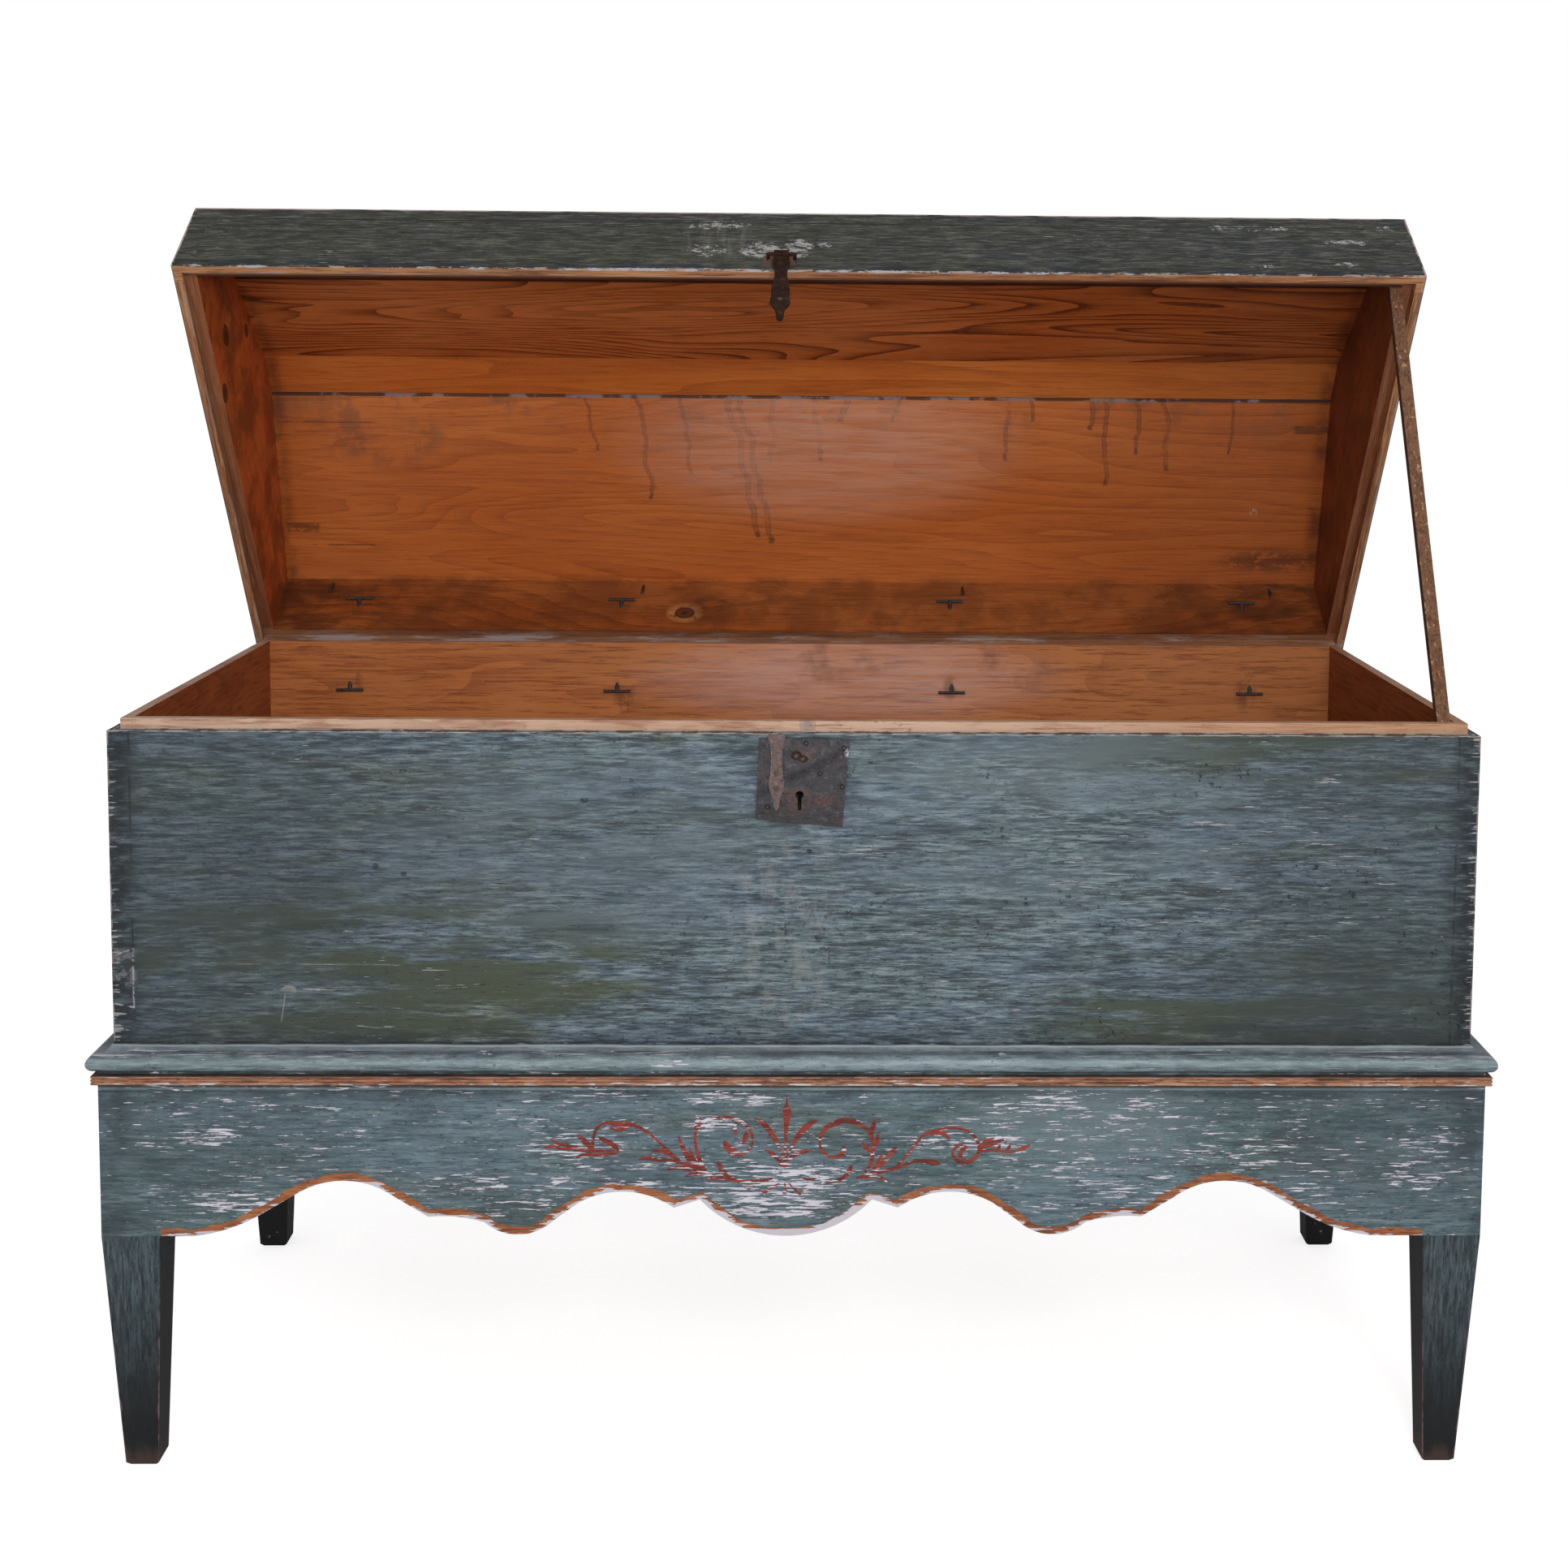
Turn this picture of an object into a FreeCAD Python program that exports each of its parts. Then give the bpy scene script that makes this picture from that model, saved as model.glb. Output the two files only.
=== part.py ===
import FreeCAD, Part
import os
import re
import Sketcher
from FreeCAD import Placement, Rotation, Vector

# Storage chest with a three-sided lid, standing on a low base with a scalloped front apron.
# Millimetres, +Z up, +X to the right of someone facing the chest, +Y towards its back.
# Every piece is drawn with Y = 0 on the front face of the box, then set back so that the
# origin lies on the floor under the middle of the whole. The lid and what it carries are
# drawn closed, from the underside of the lid's rim, and turned open about the hinge line.

values = {
    # Box
    "chest_width": 1400,
    "chest_depth": 580,
    "wall_thickness": 22,
    "bottom_thickness": 24,
    "rim_height": 777,
    "lip_height": 11,
    "lip_inset": 10.6,
    # Stand
    "apron_low": 253,
    "apron_top": 428,
    "apron_thickness": 24,
    "apron_overhang": 13,
    "scallop_rise": 59,
    "scallop_shift": 10,
    "leg_wide": 60,
    "leg_deep": 54,
    "foot_side": 34,
    "foot_set_in": 16,
    "foot_set_back": 11,
    "foot_chamfer": 4,
    "peg_radius": 4.5,
    "peg_length": 44,
    # Mouldings
    "moulding_height": 18,
    "moulding_reach": 22.5,
    "cove_height": 6,
    "cove_reach": 9,
    "cove_edge": 1.5,
    "bead_top": 424.5,
    "bead_height": 10.5,
    "bead_reach": 18.7,
    "bead_edge": 16.6,
    "brad_radius": 0.8,
    "brad_head": 1.6,
    "brad_rise": 0.8,
    "brad_sink": 0.3,
    "brad_length": 30,
    "bead_brad_length": 16,
    # Nails through the boards
    "nail_radius": 1.8,
    "nail_head": 4.2,
    "nail_rise": 1.2,
    "nail_length": 50,
    "nail_clearance": 0.05,
    # Lid
    "lid_open": 55,
    "lid_gap": 0.8,
    "lid_side_height": 120,
    "lid_ridge_height": 216,
    "ridge_width": 58,
    "lid_board": 20,
    "flange_thickness": 10,
    "rebate_height": 11.5,
    # Hinges of two linked split pins
    "wire_radius": 2,
    "leg_radius": 2.8,
    "eye_gap": 0.4,
    "lid_eye_radius": 5,
    "box_clench_drop": 47,
    "lid_clench_rise": 62,
    "clench_spread": 17,
    "notch_half": 8,
    "notch_depth": 8,
    "notch_drop": 8,
    "lid_notch_rise": 14,
    # Lock
    "keyhole_side": 1.6,
    "keyhole_below_rim": 63.5,
    "keyhole_radius": 4.4,
    "keyhole_slot_half": 2,
    "keyhole_drop": 15.7,
    "plate_wide": 92,
    "plate_tall": 88,
    "plate_thickness": 1.8,
    "plate_nail_radius": 1.2,
    "plate_nail_head": 3.1,
    "plate_nail_rise": 1.1,
    "plate_nail_length": 13,
    "strap_side": -22,
    "strap_half": 8.7,
    "strap_length": 78.3,
    "strap_thickness": 2,
    "strap_drop": 0.7,
    "rivet_radius": 1.5,
    "rivet_head": 2.8,
    "rivet_rise": 1,
    "rivet_length": 12,
    "case_wide": 84,
    "case_tall": 60,
    "case_deep": 16,
    "case_drop": 26,
    "case_sheet": 2,
    "ear_wide": 12,
    "ear_half": 11,
    "case_nail_length": 15,
    "bolt_tall": 10,
    "bolt_deep": 7,
    "bolt_lift": 14,
    "bolt_gap": 0.4,
    "bolt_tail": 13,
    "bolt_tip": 1,
    "talon_half": 5,
    "talon_deep": 3,
    "spring_half": 25,
    "spring_leaf": 1,
    "spring_wide": 6,
    # Hasp
    "hasp_side": -24,
    "hasp_height": 24,
    "hasp_reach": 6.4,
    "hasp_length": 131,
    "hasp_half": 10,
    "hasp_thickness": 2.5,
    "knuckle_radius": 4.6,
    "knuckle_half": 8.5,
    "running_fit": 0.08,
    "staple_half": 15,
    "staple_radius": 2,
    "staple_depth": 16,
    "hasp_rivet_drop": 92,
    # Prop
    "prop_back": 28.5,
    "prop_below_rim": 6,
    "prop_wide": 14,
    "prop_thickness": 9,
    "prop_gap": 0.5,
    "prop_tip_inset": 4.33,
    "prop_tip_rise": 1.86,
    "prop_pin_radius": 2.5,
    "prop_pin_head": 4.4,
    "prop_pin_cap": 2,
    "prop_pin_depth": 14,
    # How far cutters run past what they cut
    "cut_overrun": 2,
}

# Slope of the dovetails, and how round the lower end of the prop is
tail_slope_share = 0.34
prop_round_share = 0.9

# Lower edge of the front apron, right of its middle: across, up and bulge to the next point
bell_bulge_share = 0.66
scallop_shares = (
    (0.146, 0.66, 0),
    (0.19, 0.51, -0.24),
    (0.35, 0.61, 0),
    (0.395, 0.27, 0.235),
    (0.51, 0.25, -0.05),
    (0.605, 0.35, 0),
    (0.66, 0.7, -0.246),
    (0.82, 0.8, 0),
    (0.885, 0.4, 0.067),
    (1, 0, 0),
)

# Outlines of the strap and the hasp down their right sides: half width, drop and bulge
strap_shares = (
    (1, 0, 0),
    (1, 0.055, 0.006),
    (0.69, 0.19, 0.003),
    (0.69, 0.43, 0.004),
    (0.87, 0.61, -0.008),
    (0.86, 0.7, -0.004),
    (0.57, 0.8, 0.004),
    (0.34, 0.92, -0.012),
    (0.05, 1, 0),
)
hasp_shares = (
    (0.85, 0.02, 0),
    (1, 0.137, 0.012),
    (0.75, 0.4, -0.01),
    (0.985, 0.664, -0.02),
    (0.64, 0.82, 0.004),
    (0.44, 0.91, -0.002),
    (0.36, 0.96, -0.006),
    (0.1, 0.995, 0),
)

# Corners and nails of the lock plate about the keyhole, as shares of its width and height
plate_shares = ((-0.45, 0.669), (0.552, 0.655), (0.477, -0.378), (-0.485, -0.283))
plate_nail_shares = (
    (0.059, 0.597),
    (0.477, 0.551),
    (0.458, 0.085),
    (0.251, -0.017),
    (-0.361, -0.17),
    (-0.43, -0.25),
    (0.357, -0.267),
)
strap_rivet_shares = (0.51, 0.71)
ear_nail_shares = (-0.5, 0.5)

# Places along the width or depth, or up the height, that repeated pieces follow
hinge_shares = (-0.412, -0.169, 0.137, 0.411)
long_nail_shares = (-0.44, -0.15, 0.15, 0.44)
end_nail_shares = (0.3, 0.7)
cant_nail_shares = (0.2, 0.55, 0.88)
front_peg_shares = (0.21, 0.75)
side_peg_shares = (0.38, 0.88)
long_brad_shares = (-0.47, -0.22, 0.02, 0.25, 0.47)
side_brad_shares = (0.1, 0.5, 0.9)
tail_shares = (0.211, 0.5185, 0.826)
tail_half_share = 0.094
lid_tail_shares = (0.284, 0.6)
lid_tail_half_share = 0.092
scallop_reach_share = 0.854

doc = FreeCAD.newDocument("StorageChest")
sheet = doc.addObject("Spreadsheet::Sheet", "Sizes")
for row, (name, amount) in enumerate(values.items(), start=1):
    sheet.set(f"A{row}", name)
    sheet.set(f"B{row}", str(amount))
    sheet.setAlias(f"B{row}", name)
doc.recompute()

# Half turns and quarter turns that point a cylinder's axis out of a face
UP = (Vector(1, 0, 0), "0")
DOWN = (Vector(1, 0, 0), "180")
FORWARD = (Vector(1, 0, 0), "90")
BACKWARD = (Vector(-1, 0, 0), "90")
RIGHTWARD = (Vector(0, 1, 0), "90")
LEFTWARD = (Vector(0, -1, 0), "90")

box_side = "(chest_width / 2)"
inner_side = "(chest_width / 2 - wall_thickness)"
apron_side = "(chest_width / 2 + apron_overhang)"
box_back = "(chest_depth - wall_thickness)"
wall_low = "(apron_top + bottom_thickness)"
lip_top = "(rim_height + lip_height)"
cant_run = "((chest_depth - ridge_width) / 2)"
cant_rise = "(lid_ridge_height - lid_side_height)"
cant_slope = f"atan({cant_rise} / {cant_run})"
cant_edge = f"(lid_board / cos({cant_slope}))"
axis_height = "(rim_height + lid_gap / 2)"
keyhole_level = "(rim_height - keyhole_below_rim)"
prop_level = "(rim_height - prop_below_rim)"
scallop_reach = f"({scallop_reach_share} * {apron_side})"
set_back = (
    "((chest_depth - moulding_reach) / 2"
    " + (lid_side_height + lid_gap / 2) * sin(lid_open) / 2)"
)


def worded(text):
    """The expression with each named size looked up in the sheet."""
    return re.sub(r"\b[a-z]+(?:_[a-z]+)+\b", lambda found: "Sizes." + found.group(0), str(text))


def bind(item, prop, text):
    item.setExpression(prop, worded(text))


def amount_of(text):
    found = sheet.evalExpression(worded(text))
    return float(getattr(found, "Value", found))


def set_place(item, spot=("0", "0", "0"), turn=UP):
    """Turn about an axis by an angle, with the item's own origin at the spot."""
    item.Placement = Placement(Vector(0, 0, 0), Rotation(turn[0], 1))
    bind(item, "Placement.Rotation.Angle", turn[1])
    for axis, text in zip("xyz", spot):
        bind(item, "Placement.Base." + axis, text)
    return item


def block(label, x_pair, y_pair, z_pair):
    """Box between two places on each axis."""
    item = doc.addObject("Part::Box", label)
    pairs = zip(("Length", "Width", "Height"), "xyz", (x_pair, y_pair, z_pair))
    for side, axis, (low, high) in pairs:
        bind(item, "Placement.Base." + axis, low)
        bind(item, side, f"({high}) - ({low})")
    return item


def rod(label, spot, turn, length, radius):
    item = doc.addObject("Part::Cylinder", label)
    bind(item, "Height", length)
    bind(item, "Radius", radius)
    return set_place(item, spot, turn)


def taper(label, low, high, foot, top):
    """Four-sided leg between two heights; foot and top each hold an X pair and a Y pair."""
    item = doc.addObject("Part::Wedge", label)
    item.Placement = Placement(Vector(0, 0, 0), Rotation(Vector(1, 0, 0), 90))
    bind(item, "Ymin", low)
    bind(item, "Ymax", high)
    for mark, (x_pair, y_pair) in (("", foot), ("2", top)):
        bind(item, f"X{mark}min", x_pair[0])
        bind(item, f"X{mark}max", x_pair[1])
        bind(item, f"Z{mark}min", f"-({y_pair[1]})")
        bind(item, f"Z{mark}max", f"-({y_pair[0]})")
    return item


def prism(label, plane, outline, low, high):
    """Outline of (across, up, bulge) points, with lines where the bulge is 0, padded along
    the axis that the plane faces, from low to high. A bulge is the height of an arc over
    its chord, positive on the right of the direction of travel."""
    body = doc.addObject("PartDesign::Body", label)
    drawn = body.newObject("Sketcher::SketchObject", label + "_outline")
    face = [item for item in body.Origin.OriginFeatures if item.Role == plane + "_Plane"][0]
    drawn.AttachmentSupport = [(face, "")]
    drawn.MapMode = "FlatFace"
    bind(drawn, "AttachmentOffset.Base.z", f"-({high})" if plane == "XZ" else low)
    spots = [Vector(amount_of(point[0]), amount_of(point[1]), 0) for point in outline]
    count = len(outline)
    ends = []
    for place, point in enumerate(outline):
        start = spots[place]
        stop = spots[(place + 1) % count]
        bulge = amount_of(point[2])
        if bulge == 0:
            drawn.addGeometry(Part.LineSegment(start, stop), False)
            ends.append((1, 2))
            continue
        chord = stop - start
        middle = (start + stop) * 0.5 + Vector(chord.y, -chord.x, 0).normalize() * bulge
        if bulge > 0:
            drawn.addGeometry(Part.Arc(start, middle, stop), False)
            ends.append((1, 2))
        else:
            drawn.addGeometry(Part.Arc(stop, middle, start), False)
            ends.append((2, 1))
    bound = []
    for place, point in enumerate(outline):
        after = (place + 1) % count
        following = outline[after]
        start, stop = ends[place]
        joint = Sketcher.Constraint("Coincident", place, stop, after, ends[after][0])
        drawn.addConstraint(joint)
        for kind, text, now in (
            ("DistanceX", point[0], spots[place].x),
            ("DistanceY", point[1], spots[place].y),
        ):
            held = drawn.addConstraint(Sketcher.Constraint(kind, -1, 1, place, start, now))
            bound.append((held, text))
        if amount_of(point[2]) != 0:
            now = drawn.Geometry[place].Radius
            held = drawn.addConstraint(Sketcher.Constraint("Radius", place, now))
            span = f"hypot({following[0]} - ({point[0]}); {following[1]} - ({point[1]})) / 2"
            rise = f"abs({point[2]})"
            bound.append((held, f"(pow({span}; 2) + pow({rise}; 2)) / (2 * {rise})"))
    for held, text in bound:
        bind(drawn, f"Constraints[{held}]", text)
    pad = body.newObject("PartDesign::Pad", label + "_pad")
    pad.Profile = drawn
    bind(pad, "Length", f"({high}) - ({low})")
    return body


def fuse(label, items):
    joined = doc.addObject("Part::MultiFuse", label)
    joined.Shapes = list(items)
    return joined


def cut(label, base, items):
    trimmed = doc.addObject("Part::Cut", label)
    trimmed.Base = base
    trimmed.Tool = items[0] if len(items) == 1 else fuse(label + "_cutter", items)
    return trimmed


def group(label, items):
    """Separate solids kept in one node."""
    gathered = doc.addObject("Part::Compound", label)
    gathered.Links = list(items)
    return gathered


def across(hand, near, far):
    """X pair between two distances from the middle, on the left or the right."""
    return (near, far) if hand == "right" else (f"-({far})", f"-({near})")


def handed(hand, distance):
    return distance if hand == "right" else f"-({distance})"


def mirrored(points):
    """Closed outline from the points down its right side, mirrored about X = 0."""
    left = []
    for place in range(len(points) - 1, -1, -1):
        bulge = points[place - 1][2] if place > 0 else "0"
        left.append((f"-({points[place][0]})", points[place][1], bulge))
    return list(points[:-1]) + [(points[-1][0], points[-1][1], "0")] + left


def shifted(outline, aside):
    return [(f"{aside} + {x_text}", z_text, bulge) for x_text, z_text, bulge in outline]


def nails(label, spots, turn, length, radius, head=None, rise="0", proud=False):
    """Nails with their heads on or flush with a face, and the bores that take them."""
    pieces = []
    bores = []
    for number, spot in enumerate(spots, start=1):
        name = f"{label}_{number}"
        shank = rod(name + "_shank", ("0", "0", f"-({length})"), UP, length, radius)
        wide = f"{radius} + nail_clearance"
        deep = f"{length} + nail_clearance"
        bore = rod(name + "_bore", ("0", "0", f"-({deep})"), UP, f"{deep} + cut_overrun", wide)
        if head is None:
            pieces.append(set_place(group(name, [shank]), spot, turn))
            bores.append(set_place(group(name + "_bores", [bore]), spot, turn))
            continue
        seat = "0" if proud else f"-({rise})"
        cap = rod(name + "_head", ("0", "0", seat), UP, rise, head)
        pieces.append(set_place(fuse(name, [shank, cap]), spot, turn))
        if proud:
            bores.append(set_place(group(name + "_bores", [bore]), spot, turn))
            continue
        sunk = rod(
            name + "_seat",
            ("0", "0", f"-({rise} + nail_clearance)"),
            UP,
            f"{rise} + nail_clearance + cut_overrun",
            f"{head} + nail_clearance",
        )
        bores.append(set_place(fuse(name + "_bores", [bore, sunk]), spot, turn))
    return pieces, bores


nodes = {}


def chest_node(label, item):
    """Piece that stays with the box, set back over the origin."""
    item.Label = label
    bind(item, "Placement.Base.y", f"-{set_back}")
    nodes[label] = item


def lid_node(label, item):
    """Piece drawn on the closed lid, turned open about the hinge line."""
    item.Label = label
    base = (
        "0",
        f"chest_depth * (1 - cos(lid_open)) + lid_gap / 2 * sin(lid_open) - {set_back}",
        f"{axis_height} + chest_depth * sin(lid_open) + lid_gap / 2 * cos(lid_open)",
    )
    set_place(item, base, (Vector(-1, 0, 0), "lid_open"))
    nodes[label] = item


# Legs: a tapered part under the aprons and a square post behind them
post_outer = "(chest_width / 2 + apron_overhang - apron_thickness)"
post_inner = f"({apron_side} - leg_wide)"
for hand in ("left", "right"):
    foot_outer = f"({apron_side} - foot_set_in)"
    foot_inner = f"({foot_outer} - foot_side)"
    foot_x = across(hand, foot_inner, foot_outer)
    tread_x = across(hand, f"{foot_inner} + foot_chamfer", f"{foot_outer} - foot_chamfer")
    top_x = across(hand, post_inner, apron_side)
    for end in ("front", "rear"):
        if end == "front":
            foot_low = "(foot_set_back - apron_overhang)"
            foot_y = (foot_low, f"{foot_low} + foot_side")
            top_y = ("-apron_overhang", "leg_deep - apron_overhang")
            post_y = ("apron_thickness - apron_overhang", "leg_deep - apron_overhang")
        else:
            foot_low = "(chest_depth - foot_set_back - foot_side)"
            foot_y = (foot_low, f"{foot_low} + foot_side")
            top_y = ("chest_depth - leg_deep", "chest_depth")
            post_y = ("chest_depth - leg_deep", "chest_depth - apron_thickness")
        tread_y = (f"{foot_y[0]} + foot_chamfer", f"{foot_y[1]} - foot_chamfer")
        name = f"{end}_{hand}_leg"
        tread = taper(name + "_tread", "0", "foot_chamfer", (tread_x, tread_y), (foot_x, foot_y))
        shank = taper(name + "_shank", "foot_chamfer", "apron_low", (foot_x, foot_y), (top_x, top_y))
        post_x = across(hand, post_inner, post_outer)
        post = block(name + "_post", post_x, post_y, ("apron_low", "apron_top"))
        nodes[name] = fuse(name + "_solid", [tread, shank, post])

# Aprons: a scalloped board across the front, straight ones behind and at the sides
edge = []
right_edge = [
    (f"{share[0]} * {scallop_reach}", f"apron_low + {share[1]} * scallop_rise", share[2])
    for share in scallop_shares
]
for place in range(len(right_edge) - 1, -1, -1):
    bulge_share = right_edge[place - 1][2] if place > 0 else bell_bulge_share
    across_text = f"-({right_edge[place][0]}) - scallop_shift"
    edge.append((across_text, right_edge[place][1], f"{bulge_share} * scallop_rise"))
for x_text, z_text, bulge_share in right_edge:
    edge.append((f"{x_text} - scallop_shift", z_text, f"{bulge_share} * scallop_rise"))
apron_outline = [(f"-{apron_side}", "apron_low", "0")] + edge + [
    (apron_side, "apron_low", "0"),
    (apron_side, "apron_top", "0"),
    (f"-{apron_side}", "apron_top", "0"),
]
apron_in = "(apron_thickness - apron_overhang)"
apron_rear = "(chest_depth - apron_thickness)"
front_apron = prism("front_apron_solid", "XZ", apron_outline, "-apron_overhang", apron_in)
apron_z = ("apron_low", "apron_top")
rear_apron = block(
    "rear_apron_solid", (f"-{apron_side}", apron_side), (apron_rear, "chest_depth"), apron_z
)
side_aprons = {}
for hand in ("left", "right"):
    side_x = across(hand, post_outer, apron_side)
    side_aprons[hand] = block(f"{hand}_apron_solid", side_x, (apron_in, apron_rear), apron_z)

# Pegs through the aprons into the posts
peg_side = f"(({post_outer} + {post_inner}) / 2)"
front_peg_back = f"(({apron_in} + leg_deep - apron_overhang) / 2)"
rear_peg_back = f"(chest_depth - (leg_deep + apron_thickness) / 2)"
apron_tall = "(apron_top - apron_low)"
pegs = []
peg_bores = {"front": [], "rear": [], "left": [], "right": []}
for face, face_y, turn in (
    ("front", "-apron_overhang", FORWARD),
    ("rear", "chest_depth", BACKWARD),
):
    spots = [
        (handed(hand, peg_side), face_y, f"apron_low + {share} * {apron_tall}")
        for hand in ("left", "right")
        for share in front_peg_shares
    ]
    made, bored = nails(f"{face}_peg", spots, turn, "peg_length", "peg_radius")
    pegs += made
    peg_bores[face] += bored
for hand, turn in (("left", LEFTWARD), ("right", RIGHTWARD)):
    spots = [
        (handed(hand, apron_side), back, f"apron_low + {share} * {apron_tall}")
        for back in (front_peg_back, rear_peg_back)
        for share in side_peg_shares
    ]
    made, bored = nails(f"{hand}_peg", spots, turn, "peg_length", "peg_radius")
    pegs += made
    peg_bores[hand] += bored

# Mitres at the two front corners, shared by the round moulding and the reeded bead
mitre_z = ("apron_top - apron_thickness", f"{wall_low} + cut_overrun")
mitre_reach = "(moulding_reach + cut_overrun)"
mitres = {"front": [], "left": [], "right": []}
for hand in ("left", "right"):
    corner = handed(hand, box_side)
    far = handed(hand, f"{box_side} + {mitre_reach}")
    outside = [(corner, "0", "0"), (far, f"-{mitre_reach}", "0"), (far, "0", "0")]
    ahead = [(corner, "0", "0"), (far, f"-{mitre_reach}", "0"), (corner, f"-{mitre_reach}", "0")]
    mitres["front"].append(prism(f"{hand}_end_mitre", "XY", outside, *mitre_z))
    mitres[hand].append(prism(f"{hand}_front_mitre", "XY", ahead, *mitre_z))

# Profiles by how far they stand out from the box and how high they are
round_bulge = "(moulding_height / 2 - brad_sink)"
round_out = f"(moulding_reach - {round_bulge})"
round_top = "(apron_top + moulding_height)"
torus_profile = [
    ("0", "apron_top", "0"),
    (round_out, "apron_top", round_bulge),
    (round_out, round_top, "0"),
    ("cove_reach", round_top, "-cove_edge"),
    ("cove_edge", f"{round_top} + cove_height", "0"),
    ("0", f"{round_top} + cove_height", "0"),
]
reed = "(bead_height / 3)"
reed_bulge = "(bead_reach - bead_edge)"
bead_low = "(bead_top - bead_height)"
bead_profile = [
    ("apron_overhang", bead_low, "0"),
    ("bead_edge", bead_low, reed_bulge),
    ("bead_edge", f"{bead_low} + {reed}", reed_bulge),
    ("bead_edge", f"{bead_low} + 2 * {reed}", reed_bulge),
    ("bead_edge", "bead_top", "0"),
    ("apron_overhang", "bead_top", "0"),
]
trims = {}
for kind, profile in (("torus_moulding", torus_profile), ("bead", bead_profile)):
    in_front = [(f"-({out})", up, f"-({bulge})") for out, up, bulge in profile]
    far = f"({box_side} + moulding_reach)"
    trims["front", kind] = cut(
        f"front_{kind}_mitred",
        prism(f"front_{kind}_length", "YZ", in_front, f"-{far}", far),
        mitres["front"],
    )
    for hand in ("left", "right"):
        turned = -1 if hand == "left" else 1
        beside = [
            (handed(hand, f"{box_side} + {out}"), up, f"{turned} * ({bulge})")
            for out, up, bulge in profile
        ]
        trims[hand, kind] = cut(
            f"{hand}_{kind}_mitred",
            prism(f"{hand}_{kind}_length", "XZ", beside, "-moulding_reach", "chest_depth"),
            mitres[hand],
        )

# Brads through the mouldings into the bottom boards and the aprons
brads = []
brad_bores = {}
for kind, out, up, length in (
    ("torus_moulding", "moulding_reach - brad_sink", "apron_top + moulding_height / 2",
     "brad_length"),
    ("bead", "bead_reach - brad_sink", "bead_top - bead_height / 2", "bead_brad_length"),
):
    places = {
        "front": [(f"{share} * chest_width", f"-({out})", up) for share in long_brad_shares],
    }
    for hand in ("left", "right"):
        aside = handed(hand, f"{box_side} + {out}")
        places[hand] = [(aside, f"{share} * chest_depth", up) for share in side_brad_shares]
    for face, turn in (("front", FORWARD), ("left", LEFTWARD), ("right", RIGHTWARD)):
        made, bored = nails(
            f"{face}_{kind}_brad", places[face], turn, length, "brad_radius",
            "brad_head", "brad_rise",
        )
        brads += made
        brad_bores[face, kind] = bored

# Nails up through the bottom boards into the walls
wall_middle = "(wall_thickness / 2)"
floor_spots = [
    (f"{share} * chest_width", back, "apron_top")
    for share in long_nail_shares
    for back in (wall_middle, f"chest_depth - {wall_middle}")
]
floor_spots += [
    (handed(hand, f"{box_side} - {wall_middle}"), f"{share} * chest_depth", "apron_top")
    for hand in ("left", "right")
    for share in end_nail_shares
]
floor_nails, floor_bores = nails(
    "bottom_nail", floor_spots, DOWN, "nail_length", "nail_radius", "nail_head", "nail_rise"
)

# Box boards. Sockets for the pins of the end boards run from the front to the back.
rim_outer = block(
    "rim_outer",
    (f"-{box_side} - cut_overrun", f"{box_side} + cut_overrun"),
    ("-cut_overrun", "chest_depth + cut_overrun"),
    ("rim_height", f"{lip_top} + cut_overrun"),
)
rim_inner = block(
    "rim_inner",
    (f"lip_inset - {box_side}", f"{box_side} - lip_inset"),
    ("lip_inset", "chest_depth - lip_inset"),
    ("rim_height - cut_overrun", f"{lip_top} + 2 * cut_overrun"),
)
rim_ring = cut("rim_ring", rim_outer, [rim_inner])


def sockets(label, low, tall, shares, half_share):
    """Dovetail sockets at both ends of boards that run along X, spaced over their height."""
    made = []
    half = f"({half_share} * {tall})"
    narrow = f"({half} - {tail_slope_share} * (wall_thickness + cut_overrun))"
    for hand in ("left", "right"):
        near = handed(hand, inner_side)
        far = handed(hand, f"{box_side} + cut_overrun")
        for count, share in enumerate(shares):
            level = f"({low} + {share} * {tall})"
            outline = [
                (near, f"{level} - {half}", "0"),
                (far, f"{level} - {narrow}", "0"),
                (far, f"{level} + {narrow}", "0"),
                (near, f"{level} + {half}", "0"),
            ]
            through = ("-cut_overrun", "chest_depth + cut_overrun")
            made.append(prism(f"{label}_{hand}_{count}", "XZ", outline, *through))
    return made


full_x = (f"-{box_side}", box_side)
wall_z = (wall_low, lip_top)
box_sockets = sockets(
    "socket", wall_low, f"(rim_height - {wall_low})", tail_shares, tail_half_share
)
front_wall = cut(
    "front_wall", block("front_blank", full_x, ("0", "wall_thickness"), wall_z),
    [rim_ring] + box_sockets,
)
back_wall = cut(
    "back_wall", block("back_blank", full_x, (box_back, "chest_depth"), wall_z),
    [rim_ring] + box_sockets,
)
side_walls = {}
for hand in ("left", "right"):
    blank_x = across(hand, inner_side, box_side)
    blank = block(f"{hand}_blank", blank_x, ("0", "chest_depth"), wall_z)
    side_walls[hand] = cut(f"{hand}_wall", blank, [rim_ring, front_wall, back_wall])

# Hinges. Each pin is drawn with its legs along +Z from the hinge line at its own origin.
box_eye = "(2 * wire_radius + eye_gap)"
box_turn = (Vector(1, 0, 0), "90 deg + atan(box_clench_drop / wall_thickness)")
lid_turn = (Vector(1, 0, 0), "atan(wall_thickness / lid_clench_rise)")
box_leg = "(hypot(wall_thickness; box_clench_drop) * (1 + wire_radius / wall_thickness))"
lid_leg = "(hypot(wall_thickness; lid_clench_rise) * (1 + wire_radius / wall_thickness))"


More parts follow.
